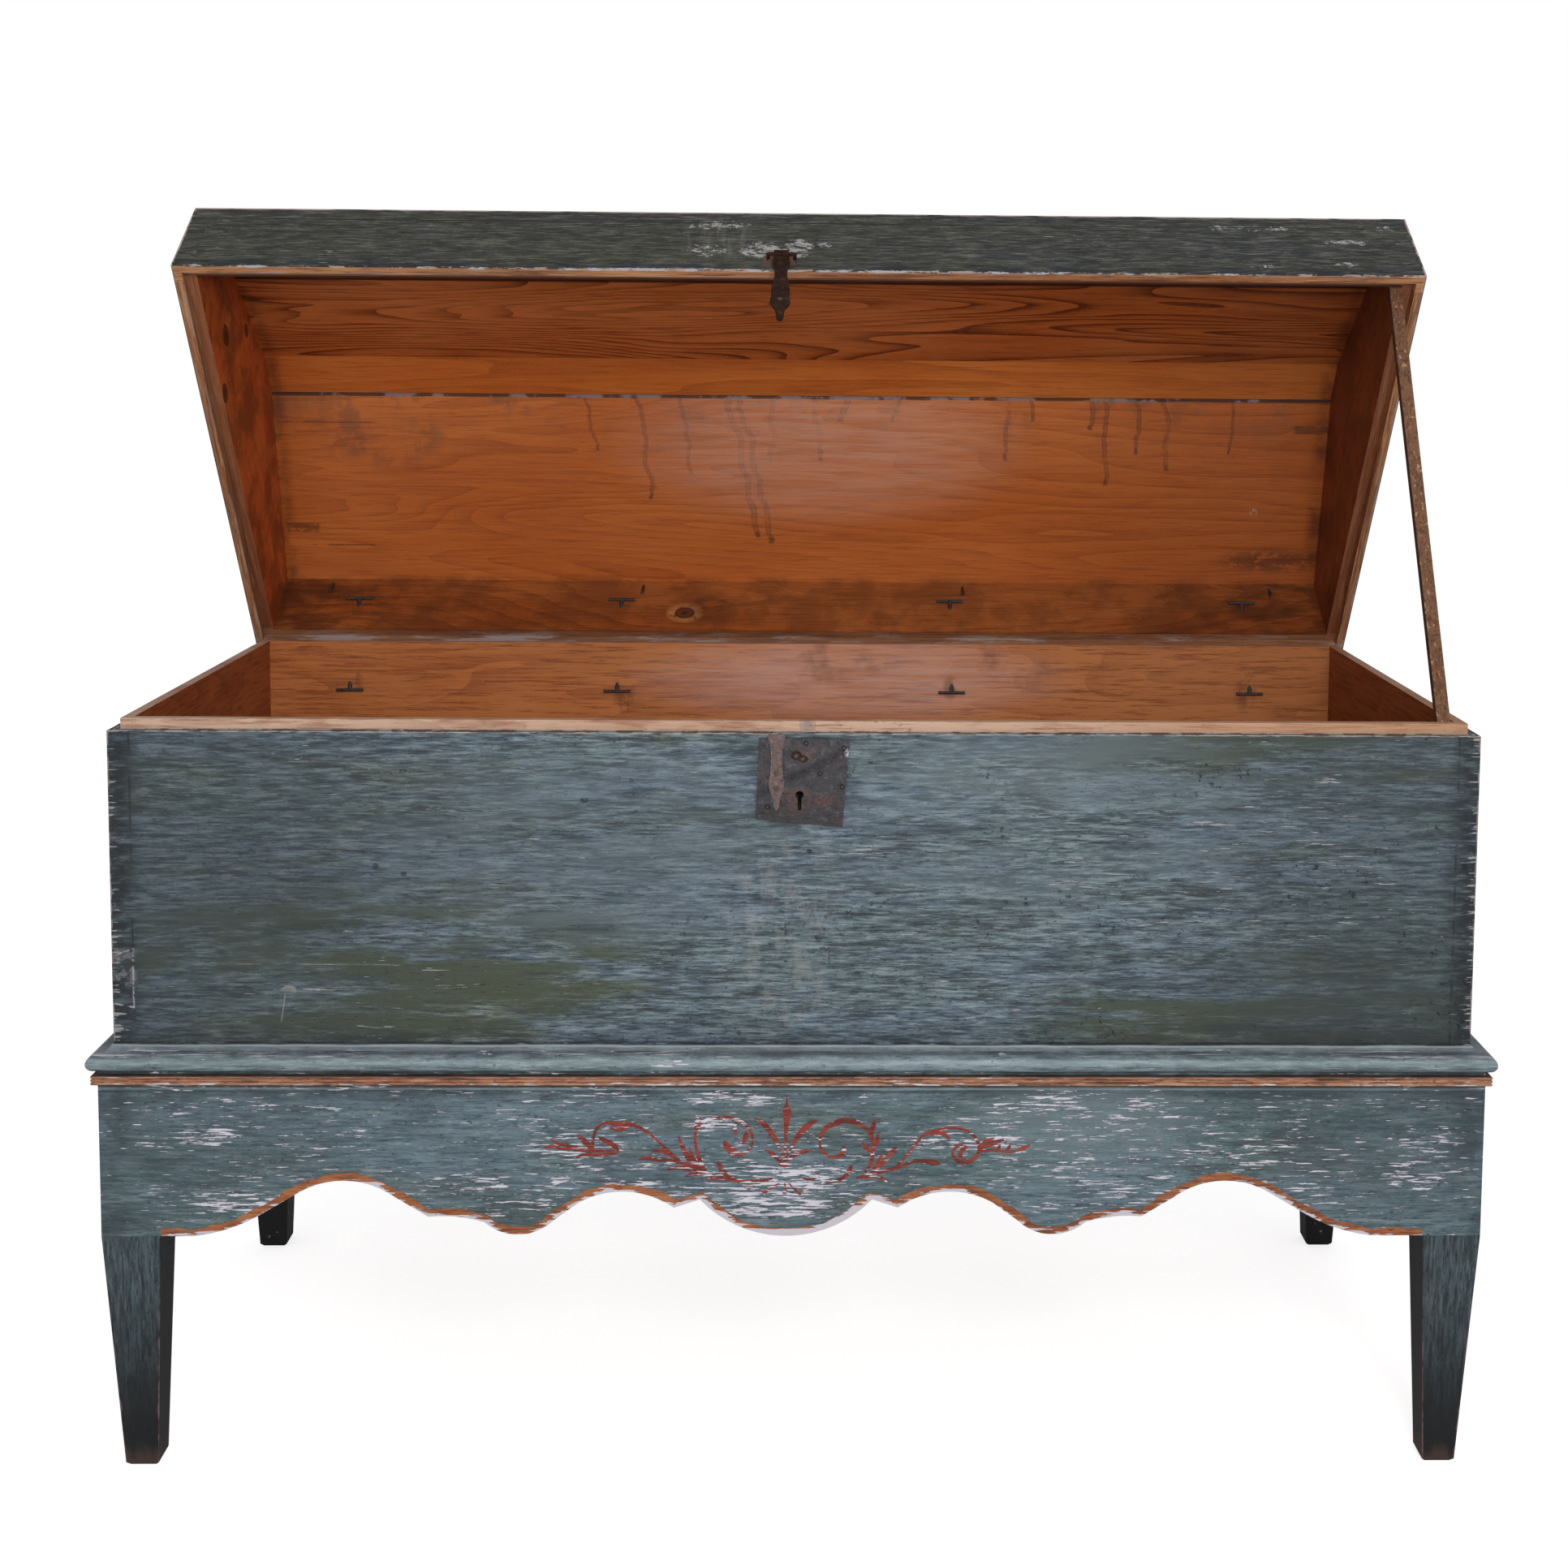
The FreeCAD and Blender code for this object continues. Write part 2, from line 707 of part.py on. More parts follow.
def split_pin(label, spot, turn, eye, leg):
    """Eye, doubled leg and two clenched ends; the eye of a lid pin lies across the line."""
    ring = doc.addObject("Part::Torus", label + "_eye")
    bind(ring, "Radius2", "wire_radius")
    bind(ring, "Radius1", eye)
    if eye == box_eye:
        set_place(ring, ("0", "0", "0"), RIGHTWARD)
        start = eye
    else:
        set_place(ring, ("0", "0", eye), FORWARD)
        start = f"(2 * {eye})"
    shank = rod(label + "_legs", ("0", "0", start), UP, f"{leg} - {start}", "leg_radius")
    spread = rod(
        label + "_clench", ("-clench_spread", "0", leg), RIGHTWARD, "2 * clench_spread",
        "wire_radius",
    )
    bore = rod(
        label + "_bore", ("0", "0", "0"), UP, f"{leg} + cut_overrun",
        "leg_radius + nail_clearance",
    )
    pin = set_place(fuse(label + "_solid", [ring, shank, spread]), spot, turn)
    return pin, set_place(group(label + "_bores", [bore]), spot, turn)


box_pins = []
box_pin_bores = []
lid_pins = []
lid_pin_bores = []
for number, share in enumerate(hinge_shares, start=1):
    middle = f"({share} * chest_width)"
    notch_x = (f"{middle} - notch_half", f"{middle} + notch_half")
    box_spot = (middle, "chest_depth", axis_height)
    lid_spot = (middle, "chest_depth", "-lid_gap / 2")
    pin, bore = split_pin(f"box_pin_{number}", box_spot, box_turn, box_eye, box_leg)
    box_pins.append(pin)
    box_pin_bores.append(bore)
    box_pin_bores.append(block(
        f"box_notch_{number}", notch_x,
        ("chest_depth - notch_depth", "chest_depth + cut_overrun"),
        ("rim_height - notch_drop", "rim_height + cut_overrun"),
    ))
    pin, bore = split_pin(f"lid_pin_{number}", lid_spot, lid_turn, "lid_eye_radius", lid_leg)
    lid_pins.append(pin)
    lid_pin_bores.append(bore)
    lid_pin_bores.append(block(
        f"lid_notch_{number}", notch_x,
        ("chest_depth - notch_depth", "chest_depth + cut_overrun"),
        ("-cut_overrun", "lid_notch_rise"),
    ))

# Lock plate, its nails, and the strap riveted on it
keyhole = [
    rod("keyhole_round", ("keyhole_side", "-wall_thickness", keyhole_level), BACKWARD,
        "2 * wall_thickness + cut_overrun", "keyhole_radius"),
    block("keyhole_slot",
          ("keyhole_side - keyhole_slot_half", "keyhole_side + keyhole_slot_half"),
          ("-wall_thickness", "wall_thickness + cut_overrun"),
          (f"{keyhole_level} - keyhole_drop", keyhole_level)),
]
plate_outline = [
    (f"keyhole_side + {x_share} * plate_wide", f"{keyhole_level} + {z_share} * plate_tall", "0")
    for x_share, z_share in plate_shares
]
plate_blank = prism("lock_plate_blank", "XZ", plate_outline, "-plate_thickness", "0")
plate_spots = [
    (f"keyhole_side + {x_share} * plate_wide", "-plate_thickness",
     f"{keyhole_level} + {z_share} * plate_tall")
    for x_share, z_share in plate_nail_shares
]
plate_nails, plate_bores = nails(
    "plate_nail", plate_spots, FORWARD, "plate_nail_length", "plate_nail_radius",
    "plate_nail_head", "plate_nail_rise", True,
)
strap_top = "(rim_height - strap_drop)"
strap_outline = shifted(mirrored([
    (f"{x_share} * strap_half", f"{strap_top} - {z_share} * strap_length",
     f"{bulge} * strap_length")
    for x_share, z_share, bulge in strap_shares
]), "strap_side")
strap_front = "(plate_thickness + strap_thickness)"
strap_blank = prism("front_strap_blank", "XZ", strap_outline, f"-{strap_front}",
                    "-plate_thickness")
rivet_spots = [
    ("strap_side", f"-{strap_front}", f"{strap_top} - {share} * strap_length")
    for share in strap_rivet_shares
]
strap_rivets, rivet_bores = nails(
    "strap_rivet", rivet_spots, FORWARD, "rivet_length", "rivet_radius", "rivet_head",
    "rivet_rise", True,
)

# Lock case on the inside, open towards the board, with two ears nailed to it
case_low = f"({keyhole_level} - case_drop)"
case_high = f"({case_low} + case_tall)"
case_x = ("keyhole_side - case_wide / 2", "keyhole_side + case_wide / 2")
case_outer = block("case_outer", case_x,
                   ("wall_thickness", "wall_thickness + case_deep"), (case_low, case_high))
case_hollow = block(
    "case_hollow", (f"{case_x[0]} + case_sheet", f"{case_x[1]} - case_sheet"),
    ("wall_thickness - cut_overrun", "wall_thickness + case_deep - case_sheet"),
    (f"{case_low} + case_sheet", f"{case_high} - case_sheet"),
)
ears = block(
    "case_ears", (f"{case_x[0]} - ear_wide", f"{case_x[1]} + ear_wide"),
    ("wall_thickness", "wall_thickness + case_sheet"),
    (f"{keyhole_level} - case_drop / 2 - ear_half", f"{keyhole_level} - case_drop / 2 + ear_half"),
)
bolt_middle = f"({keyhole_level} + bolt_lift)"
bolt_y = ("wall_thickness + bolt_gap", "wall_thickness + bolt_gap + bolt_deep")
bolt_slot = block(
    "bolt_slot", (f"{case_x[0]} - cut_overrun", f"{case_x[1]} + cut_overrun"),
    ("wall_thickness - cut_overrun", f"{bolt_y[1]} + bolt_gap"),
    (f"{bolt_middle} - bolt_tall / 2 - bolt_gap", f"{bolt_middle} + bolt_tall / 2 + bolt_gap"),
)
case_blank = fuse("case_blank", [case_outer, ears])
ear_middle = "(case_wide / 2 + ear_wide / 2)"
case_spots = [
    (f"keyhole_side + {sign} * {ear_middle}", "wall_thickness + case_sheet",
     f"{keyhole_level} - case_drop / 2 + {share} * ear_half")
    for sign in (-1, 1)
    for share in ear_nail_shares
]
case_nails, case_bores = nails(
    "case_nail", case_spots, BACKWARD, "case_nail_length", "plate_nail_radius",
    "plate_nail_head", "plate_nail_rise", True,
)
bolt_bar = block(
    "bolt_bar", (f"{case_x[0]} - bolt_tail", f"{case_x[1]} + bolt_tip"), bolt_y,
    (f"{bolt_middle} - bolt_tall / 2", f"{bolt_middle} + bolt_tall / 2"),
)
talon = block(
    "bolt_talon", ("keyhole_side - talon_half", "keyhole_side + talon_half"),
    (f"{bolt_y[0]} - cut_overrun", f"{bolt_y[1]} + cut_overrun"),
    (f"{bolt_middle} - bolt_tall", f"{bolt_middle} - bolt_tall / 2 + talon_deep"),
)
spring_top = f"({case_high} - case_sheet)"
spring_bow = f"({spring_top} - {bolt_middle} - bolt_tall / 2 - bolt_gap)"
spring_outline = [
    ("keyhole_side - spring_half", spring_top, spring_bow),
    ("keyhole_side + spring_half", spring_top, "0"),
    ("keyhole_side + spring_half - 2 * spring_leaf", spring_top,
     f"-({spring_bow} - spring_leaf)"),
    ("keyhole_side - spring_half + 2 * spring_leaf", spring_top, "0"),
]
spring_y = "(wall_thickness + bolt_gap)"
lock_spring = prism("lock_spring_leaf", "XZ", spring_outline, spring_y,
                    f"{spring_y} + spring_wide")

# Prop pin in the right wall, and the stick turned about it
prop_x = (f"({inner_side} - prop_gap - prop_wide)", f"({inner_side} - prop_gap)")
pin_start = f"({prop_x[0]} - prop_gap - prop_pin_cap)"
prop_pin = fuse("prop_pin_solid", [
    rod("prop_pin_shank", (pin_start, "prop_back", prop_level), RIGHTWARD,
        f"{inner_side} + prop_pin_depth - {pin_start}", "prop_pin_radius"),
    rod("prop_pin_disc", (pin_start, "prop_back", prop_level), RIGHTWARD,
        "prop_pin_cap", "prop_pin_head"),
])
prop_pin_bore = rod(
    "prop_pin_bore", (f"{inner_side} - cut_overrun", "prop_back", prop_level), RIGHTWARD,
    "prop_pin_depth + cut_overrun + nail_clearance", "prop_pin_radius + nail_clearance",
)
tip_in = "(chest_depth - wall_thickness - prop_tip_inset)"
tip_up = "(rebate_height + prop_tip_rise + lid_gap / 2)"
tip_run = (
    f"(chest_depth - prop_back - {tip_in} * cos(lid_open) + {tip_up} * sin(lid_open))"
)
tip_rise = (
    f"({axis_height} - {prop_level} + {tip_in} * sin(lid_open) + {tip_up} * cos(lid_open))"
)
prop_length = f"hypot({tip_run}; {tip_rise})"
half_prop = "prop_thickness / 2"
prop_outline = [
    ("0", f"-{half_prop}", "0"),
    (prop_length, f"-{half_prop}", "0"),
    (prop_length, half_prop, "0"),
    ("0", half_prop, f"{prop_round_share} * {half_prop}"),
]
prop_stick = cut("prop_stick_solid", prism("prop_blank", "YZ", prop_outline, *prop_x), [
    rod("prop_bore", (f"{prop_x[0]} - cut_overrun", "0", "0"), RIGHTWARD,
        "prop_wide + 2 * cut_overrun", "prop_pin_radius + running_fit"),
])
set_place(
    prop_stick, ("0", "prop_back", prop_level),
    (Vector(1, 0, 0), f"atan({tip_rise} / {tip_run})"),
)
prop_stick.Label = "prop_stick"
bind(prop_stick, "Placement.Base.y", f"prop_back - {set_back}")
nodes["prop_stick"] = prop_stick

# Lid boards: front and rear boards bevelled under the sloping boards, ends cut to fit them
cant_at_wall = f"(lid_side_height - {cant_edge} + wall_thickness * tan({cant_slope}))"
ridge_in = f"(lid_ridge_height - {cant_edge})"
front_profile = [
    ("0", "0", "0"),
    ("wall_thickness", "0", "0"),
    ("wall_thickness", cant_at_wall, "0"),
    ("0", f"lid_side_height - {cant_edge}", "0"),
]
rear_profile = [(f"chest_depth - {across_text}", up, "0") for across_text, up, _ in front_profile]
end_profile = [
    ("0", "0", "0"),
    ("chest_depth", "0", "0"),
    ("chest_depth", f"lid_side_height - {cant_edge}", "0"),
    (f"chest_depth - {cant_run}", ridge_in, "0"),
    (f"chest_depth - {cant_run}", "lid_ridge_height - lid_board", "0"),
    (cant_run, "lid_ridge_height - lid_board", "0"),
    (cant_run, ridge_in, "0"),
    ("0", f"lid_side_height - {cant_edge}", "0"),
]
front_cant_profile = [
    ("0", f"lid_side_height - {cant_edge}", "0"),
    (cant_run, ridge_in, "0"),
    (cant_run, "lid_ridge_height", "0"),
    ("0", "lid_side_height", "0"),
]
rear_cant_profile = [
    (f"chest_depth - {across_text}", up, "0") for across_text, up, _ in front_cant_profile
]
rebate = block(
    "lid_rebate",
    (f"flange_thickness - {box_side}", f"{box_side} - flange_thickness"),
    ("flange_thickness", "chest_depth - flange_thickness"),
    ("-cut_overrun", "rebate_height"),
)
lid_sockets = sockets(
    "lid_socket", "0", "lid_side_height", lid_tail_shares, lid_tail_half_share
)
lid_front = cut("lid_front_wall", prism("lid_front_blank", "YZ", front_profile, *full_x),
                [rebate] + lid_sockets)
lid_rear = cut("lid_rear_wall", prism("lid_rear_blank", "YZ", rear_profile, *full_x),
               [rebate] + lid_sockets)

# Nails down through the top boards into the walls under them
lid_nails = []
lid_bores = []
out_from_middle = f"{box_side} - {wall_middle}"
for end, base, turn in (
    ("front", "", (Vector(1, 0, 0), cant_slope)),
    ("rear", "chest_depth - ", (Vector(-1, 0, 0), cant_slope)),
):
    spots = []
    for share in long_nail_shares:
        spots.append((
            f"{share} * chest_width", f"{base}{wall_middle}",
            f"lid_side_height + {wall_middle} * tan({cant_slope})",
        ))
    for hand in ("left", "right"):
        for share in cant_nail_shares:
            spots.append((
                handed(hand, out_from_middle),
                f"{base}{share} * {cant_run}",
                f"lid_side_height + {share} * {cant_rise}",
            ))
    made, bored = nails(
        f"{end}_cant_nail", spots, turn, "nail_length", "nail_radius", "nail_head", "nail_rise"
    )
    lid_nails += made
    lid_bores += bored
ridge_spots = [
    (handed(hand, out_from_middle), "chest_depth / 2", "lid_ridge_height")
    for hand in ("left", "right")
]
made, bored = nails(
    "ridge_nail", ridge_spots, UP, "nail_length", "nail_radius", "nail_head", "nail_rise"
)
lid_nails += made
lid_bores += bored

# Hasp on its staple, hanging in front of the lid's face
hasp_back = "(hasp_reach - hasp_thickness / 2)"
hasp_face = "(hasp_reach + hasp_thickness / 2)"
hasp_outline = shifted(mirrored([
    (f"{x_share} * hasp_half", f"hasp_height - {z_share} * hasp_length",
     f"{bulge} * hasp_length")
    for x_share, z_share, bulge in hasp_shares
]), "hasp_side")
knuckle_x = "(hasp_side - knuckle_half)"
knuckle_spot = (knuckle_x, "-hasp_reach", "hasp_height")
hasp_blank = fuse("hasp_blank", [
    prism("hasp_leaf", "XZ", hasp_outline, f"-{hasp_face}", f"-{hasp_back}"),
    rod("hasp_knuckle", knuckle_spot, RIGHTWARD, "2 * knuckle_half", "knuckle_radius"),
])
hasp_bore = rod(
    "hasp_bore", (f"{knuckle_x} - knuckle_half", "-hasp_reach", "hasp_height"), RIGHTWARD,
    "4 * knuckle_half", "staple_radius + running_fit",
)
hasp_rivets, hasp_rivet_bores = nails(
    "hasp_rivet", [("hasp_side", f"-{hasp_face}", "hasp_height - hasp_rivet_drop")], FORWARD,
    "hasp_thickness", "rivet_radius", "rivet_head", "rivet_rise", True,
)
staple_parts = [
    rod("staple_bar", ("hasp_side - staple_half", "-hasp_reach", "hasp_height"), RIGHTWARD,
        "2 * staple_half", "staple_radius"),
]
staple_bores = []
for hand, sign in (("left", "-"), ("right", "+")):
    foot_x = f"hasp_side {sign} staple_half"
    spot = (foot_x, "-hasp_reach", "hasp_height")
    length = "hasp_reach + staple_depth"
    staple_parts.append(rod(f"staple_{hand}_leg", spot, BACKWARD, length, "staple_radius"))
    knob = doc.addObject("Part::Sphere", f"staple_{hand}_bend")
    bind(knob, "Radius", "staple_radius")
    staple_parts.append(set_place(knob, spot))
    staple_bores.append(rod(
        f"staple_{hand}_bore", spot, BACKWARD, f"{length} + nail_clearance",
        "staple_radius + nail_clearance",
    ))

# Pieces of the chest, with what passes through them cut away
for name in [leg for leg in nodes if leg.endswith("_leg")]:
    end, hand, _ = name.split("_")
    chest_node(name, cut(name + "_bored", nodes[name], peg_bores[end] + peg_bores[hand]))
chest_node("front_apron", cut(
    "front_apron_bored", front_apron, peg_bores["front"] + brad_bores["front", "bead"]
))
chest_node("rear_apron", cut("rear_apron_bored", rear_apron, peg_bores["rear"]))
for hand in ("left", "right"):
    chest_node(f"{hand}_apron", cut(
        f"{hand}_apron_bored", side_aprons[hand], peg_bores[hand] + brad_bores[hand, "bead"]
    ))
chest_node("apron_pegs", group("apron_peg_group", pegs))
for (face, kind), trim in trims.items():
    chest_node(f"{face}_{kind}", cut(f"{face}_{kind}_bored", trim, brad_bores[face, kind]))
chest_node("moulding_brads", group("brad_group", brads))
bottom_third = "(chest_depth / 3)"
torus_bores = [bore for face in ("front", "left", "right")
               for bore in brad_bores[face, "torus_moulding"]]
for count, place in enumerate(("front", "middle", "rear")):
    board_y = (f"{count} * {bottom_third}", f"{count + 1} * {bottom_third}")
    board = block(f"bottom_{place}_blank", full_x, board_y, ("apron_top", wall_low))
    chest_node(f"bottom_{place}_board", cut(
        f"bottom_{place}_bored", board, floor_bores + torus_bores
    ))
chest_node("bottom_nails", group("bottom_nail_group", floor_nails))
chest_node("box_front_board", cut(
    "front_board_bored", front_wall,
    keyhole + plate_bores + rivet_bores + case_bores + floor_bores,
))
chest_node("box_back_board", cut("back_board_bored", back_wall, floor_bores + box_pin_bores))
chest_node("box_left_board", cut("left_board_bored", side_walls["left"], floor_bores))
chest_node("box_right_board", cut(
    "right_board_bored", side_walls["right"], floor_bores + [prop_pin_bore]
))
for number, pin in enumerate(box_pins, start=1):
    chest_node(f"box_hinge_pin_{number}", group(f"box_hinge_{number}", [pin]))
chest_node("lock_plate", cut(
    "lock_plate_bored", plate_blank, keyhole + plate_bores + rivet_bores
))
chest_node("lock_plate_nails", group("plate_nail_group", plate_nails))
chest_node("front_strap", cut("front_strap_bored", strap_blank, rivet_bores))
chest_node("front_strap_rivets", group("strap_rivet_group", strap_rivets))
chest_node("lock_case", cut(
    "case_bored", case_blank, [case_hollow, bolt_slot] + case_bores
))
chest_node("lock_case_nails", group("case_nail_group", case_nails))
chest_node("lock_bolt", cut("bolt_notched", bolt_bar, [talon]))
chest_node("lock_spring", lock_spring)
chest_node("prop_pin", prop_pin)

# Pieces of the lid
lid_node("lid_front_board", cut("lid_front_bored", lid_front, lid_bores + staple_bores))
lid_node("lid_rear_board", cut("lid_rear_bored", lid_rear, lid_bores + lid_pin_bores))
for hand in ("left", "right"):
    blank = prism(f"lid_{hand}_blank", "YZ", end_profile, *across(hand, inner_side, box_side))
    lid_node(f"lid_{hand}_end", cut(
        f"lid_{hand}_bored", blank, [rebate, lid_front, lid_rear] + lid_bores
    ))
front_cant = prism("front_cant_blank", "YZ", front_cant_profile, *full_x)
rear_cant = prism("rear_cant_blank", "YZ", rear_cant_profile, *full_x)
ridge_board = block("ridge_blank", full_x, (cant_run, f"chest_depth - {cant_run}"),
                    ("lid_ridge_height - lid_board", "lid_ridge_height"))
lid_node("lid_front_cant", cut("front_cant_bored", front_cant, lid_bores))
lid_node("lid_rear_cant", cut("rear_cant_bored", rear_cant, lid_bores))
lid_node("lid_ridge_board", cut("ridge_bored", ridge_board, lid_bores))
lid_node("lid_nails", group("lid_nail_group", lid_nails))
for number, pin in enumerate(lid_pins, start=1):
    lid_node(f"lid_hinge_pin_{number}", group(f"lid_hinge_{number}", [pin]))
lid_node("hasp", cut("hasp_bored", hasp_blank, [hasp_bore] + hasp_rivet_bores))
lid_node("hasp_rivet", group("hasp_rivet_group", hasp_rivets))
lid_node("hasp_staple", fuse("staple_solid", staple_parts))

doc.recompute()

os.makedirs("parts", exist_ok=True)
for item in doc.Objects:
    if "Invalid" in item.State or "Error" in item.State:
        raise RuntimeError(f"{item.Label} did not build: {item.State}")
for label, item in nodes.items():
    shape = item.Shape
    if shape.isNull() or not shape.isValid() or not shape.Solids:
        raise RuntimeError(f"{label} has no valid solid")
    shape.exportStep(f"parts/{label}.step")
    print(label, len(shape.Solids), round(shape.Volume), shape.BoundBox)
print(len(nodes), "nodes")
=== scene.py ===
import functools
import math

import bmesh
import bpy
from mathutils import Matrix, Vector


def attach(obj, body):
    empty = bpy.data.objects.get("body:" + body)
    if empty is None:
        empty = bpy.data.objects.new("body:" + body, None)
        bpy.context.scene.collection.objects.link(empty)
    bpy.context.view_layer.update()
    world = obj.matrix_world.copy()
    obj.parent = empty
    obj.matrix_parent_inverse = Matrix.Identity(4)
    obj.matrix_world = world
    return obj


# Painted storage chest with its three-sided lid propped open: worn slate-blue paint over
# pine, a scalloped apron with an orange border and red scrollwork, and wrought iron.
# Metres, in the frame of the CAD part. The lid's finishes are laid out on the closed lid.

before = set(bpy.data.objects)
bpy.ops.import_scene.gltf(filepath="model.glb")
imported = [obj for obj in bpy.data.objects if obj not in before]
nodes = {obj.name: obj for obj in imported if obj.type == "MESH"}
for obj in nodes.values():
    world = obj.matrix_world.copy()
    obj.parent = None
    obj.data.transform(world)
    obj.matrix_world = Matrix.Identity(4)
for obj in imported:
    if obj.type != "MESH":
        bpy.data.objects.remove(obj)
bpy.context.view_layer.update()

# Faces of the CAD part that the finishes and painted pieces follow
BOX_FRONT = -0.328063
BOX_BACK = 0.251937
APRON_FRONT = -0.341063
APRON_HALF = 0.713
LEG_TOP = 0.253
BEAD_LOW = 0.414
BEAD_TOP = 0.4245
COVE_TOP = 0.452
HALF_WIDTH = 0.7
JOINT_LINE = 0.6785
LEDGE = 0.777
RIM_TOP = 0.788
DEPTH = 0.58
HINGE_HEIGHT = 0.7774
LID_OPEN = math.radians(55)
LID_SIDE = 0.12
LID_RIDGE = 0.216
RIDGE_HALF = 0.029


def shade(red, green, blue):
    """A colour written as it looks on screen, 0 to 255."""
    linear = []
    for part in (red, green, blue):
        part = part / 255
        linear.append(part / 12.92 if part <= 0.04045 else ((part + 0.055) / 1.055) ** 2.4)
    return (*linear, 1)


class Wire:
    """A socket in a tree: sums written on wires add the Math nodes that they need."""

    def __init__(self, home, socket):
        self.home = home
        self.socket = socket

    def reckon(self, operation, *values):
        return self.home.node("ShaderNodeMath", {"operation": operation}, dict(enumerate(values)))

    def __add__(self, other):
        return self.reckon("ADD", self, other)

    __radd__ = __add__

    def __sub__(self, other):
        return self.reckon("SUBTRACT", self, other)

    def __rsub__(self, other):
        return self.reckon("SUBTRACT", other, self)

    def __mul__(self, other):
        return self.reckon("MULTIPLY", self, other)

    def __truediv__(self, other):
        return self.reckon("DIVIDE", self, other)

    def __pow__(self, other):
        return self.reckon("POWER", self, other)

    def __abs__(self):
        return self.reckon("ABSOLUTE", self)

    def larger(self, other):
        return self.reckon("MAXIMUM", self, other)

    def smaller(self, other):
        return self.reckon("MINIMUM", self, other)

    def fraction(self):
        return self.reckon("FRACT", self)

    def over(self, start, end):
        """Rises smoothly from 0 at start to 1 at end, or falls where end is the smaller."""
        sockets = {0: self, 1: start, 2: end}
        return self.home.node("ShaderNodeMapRange", {"interpolation_type": "SMOOTHSTEP"}, sockets)

    def tint(self, amount, *tone):
        """Lay a colour over this one: another wire, or a tone as shade takes it."""
        over = shade(*tone) if len(tone) == 3 else tone[0]
        self.socket = self.home.blend(amount, self, over).socket


def largest(wires):
    """The largest of any number of wires."""
    return functools.reduce(Wire.larger, wires)


class Tree:
    """An emptied node tree to which nodes are added with their settings and sockets."""

    def __init__(self, owner):
        owner.use_nodes = True
        self.tree = owner.node_tree
        self.tree.nodes.clear()

    def node(self, kind, settings, sockets, output=0):
        made = self.tree.nodes.new(kind)
        for word, setting in settings.items():
            setattr(made, word, setting)
        for socket, value in sockets.items():
            if isinstance(value, Wire):
                self.tree.links.new(value.socket, made.inputs[socket])
            else:
                made.inputs[socket].default_value = value
        return Wire(self, made.outputs[output]) if made.outputs else None


class Finish(Tree):
    """A procedural finish: what every finish here is mixed from."""

    def __init__(self, name, lid=False):
        self.material = bpy.data.materials.new(name)
        super().__init__(self.material)
        self.place = self.node("ShaderNodeTexCoord", {}, {}, "Object")
        if lid:
            turn = Matrix.Rotation(LID_OPEN, 3, "X")
            hinge = turn @ Vector((0, BOX_BACK, HINGE_HEIGHT))
            move = Vector((0, DEPTH, 0)) - hinge
            self.place = self.node(
                "ShaderNodeMapping", {}, {0: self.place, 1: move, 2: (LID_OPEN, 0, 0)}
            )
        parts = self.node("ShaderNodeSeparateXYZ", {}, {0: self.place}).socket.node
        self.x, self.y, self.z = (Wire(self, part) for part in parts.outputs)

    def blend(self, amount, under, over):
        return self.node("ShaderNodeMix", {"data_type": "RGBA"}, {0: amount, 6: under, 7: over}, 2)

    def spread(self, fineness, seed=0):
        """The place stretched so that a pattern has this many features a metre each way."""
        if not isinstance(fineness, tuple):
            fineness = (fineness,) * 3
        shift = (seed * 3.17, seed * 1.73, seed * 5.31)
        settings = {"operation": "MULTIPLY_ADD"}
        return self.node("ShaderNodeVectorMath", settings, {0: self.place, 1: fineness, 2: shift})

    def cloud(self, fineness, seed=0, detail=3, rough=0.55, swirl=0):
        sockets = {"Vector": self.spread(fineness, seed), "Scale": 1, "Detail": detail}
        sockets |= {"Roughness": rough, "Distortion": swirl}
        return self.node("ShaderNodeTexNoise", {}, sockets)

    def band(self, wire, middle, half, soft):
        """1 within half of the middle, fading over the soft distance outside it."""
        return abs(wire - middle).over(half + soft, half)

    def patch(self, centre, reach, edge=0.55, up=None):
        """A soft-edged oval patch, across and up a front, or across and back where up is y."""
        up = up or self.z
        spot = (((self.x - centre[0]) / reach[0]) ** 2) + (((up - centre[1]) / reach[1]) ** 2)
        return spot.over(1, edge * edge)

    def done(self, colour, roughness, height, depth, specular, metallic=0):
        bump = {"Strength": 1, "Distance": depth, "Height": height}
        sockets = {"Normal": self.node("ShaderNodeBump", {}, bump), "Base Color": colour}
        sockets |= {"Roughness": roughness, "Metallic": metallic, "Specular IOR Level": specular}
        shader = self.node("ShaderNodeBsdfPrincipled", {}, sockets)
        self.node("ShaderNodeOutputMaterial", {}, {0: shader})
        return self.material


def lay(slow, fast, grain="x"):
    """Features a metre along the grain and across it; a level grain runs round the walls."""
    along = "xy" if grain == "level" else grain
    return tuple(slow if axis in along else fast for axis in "xyz")


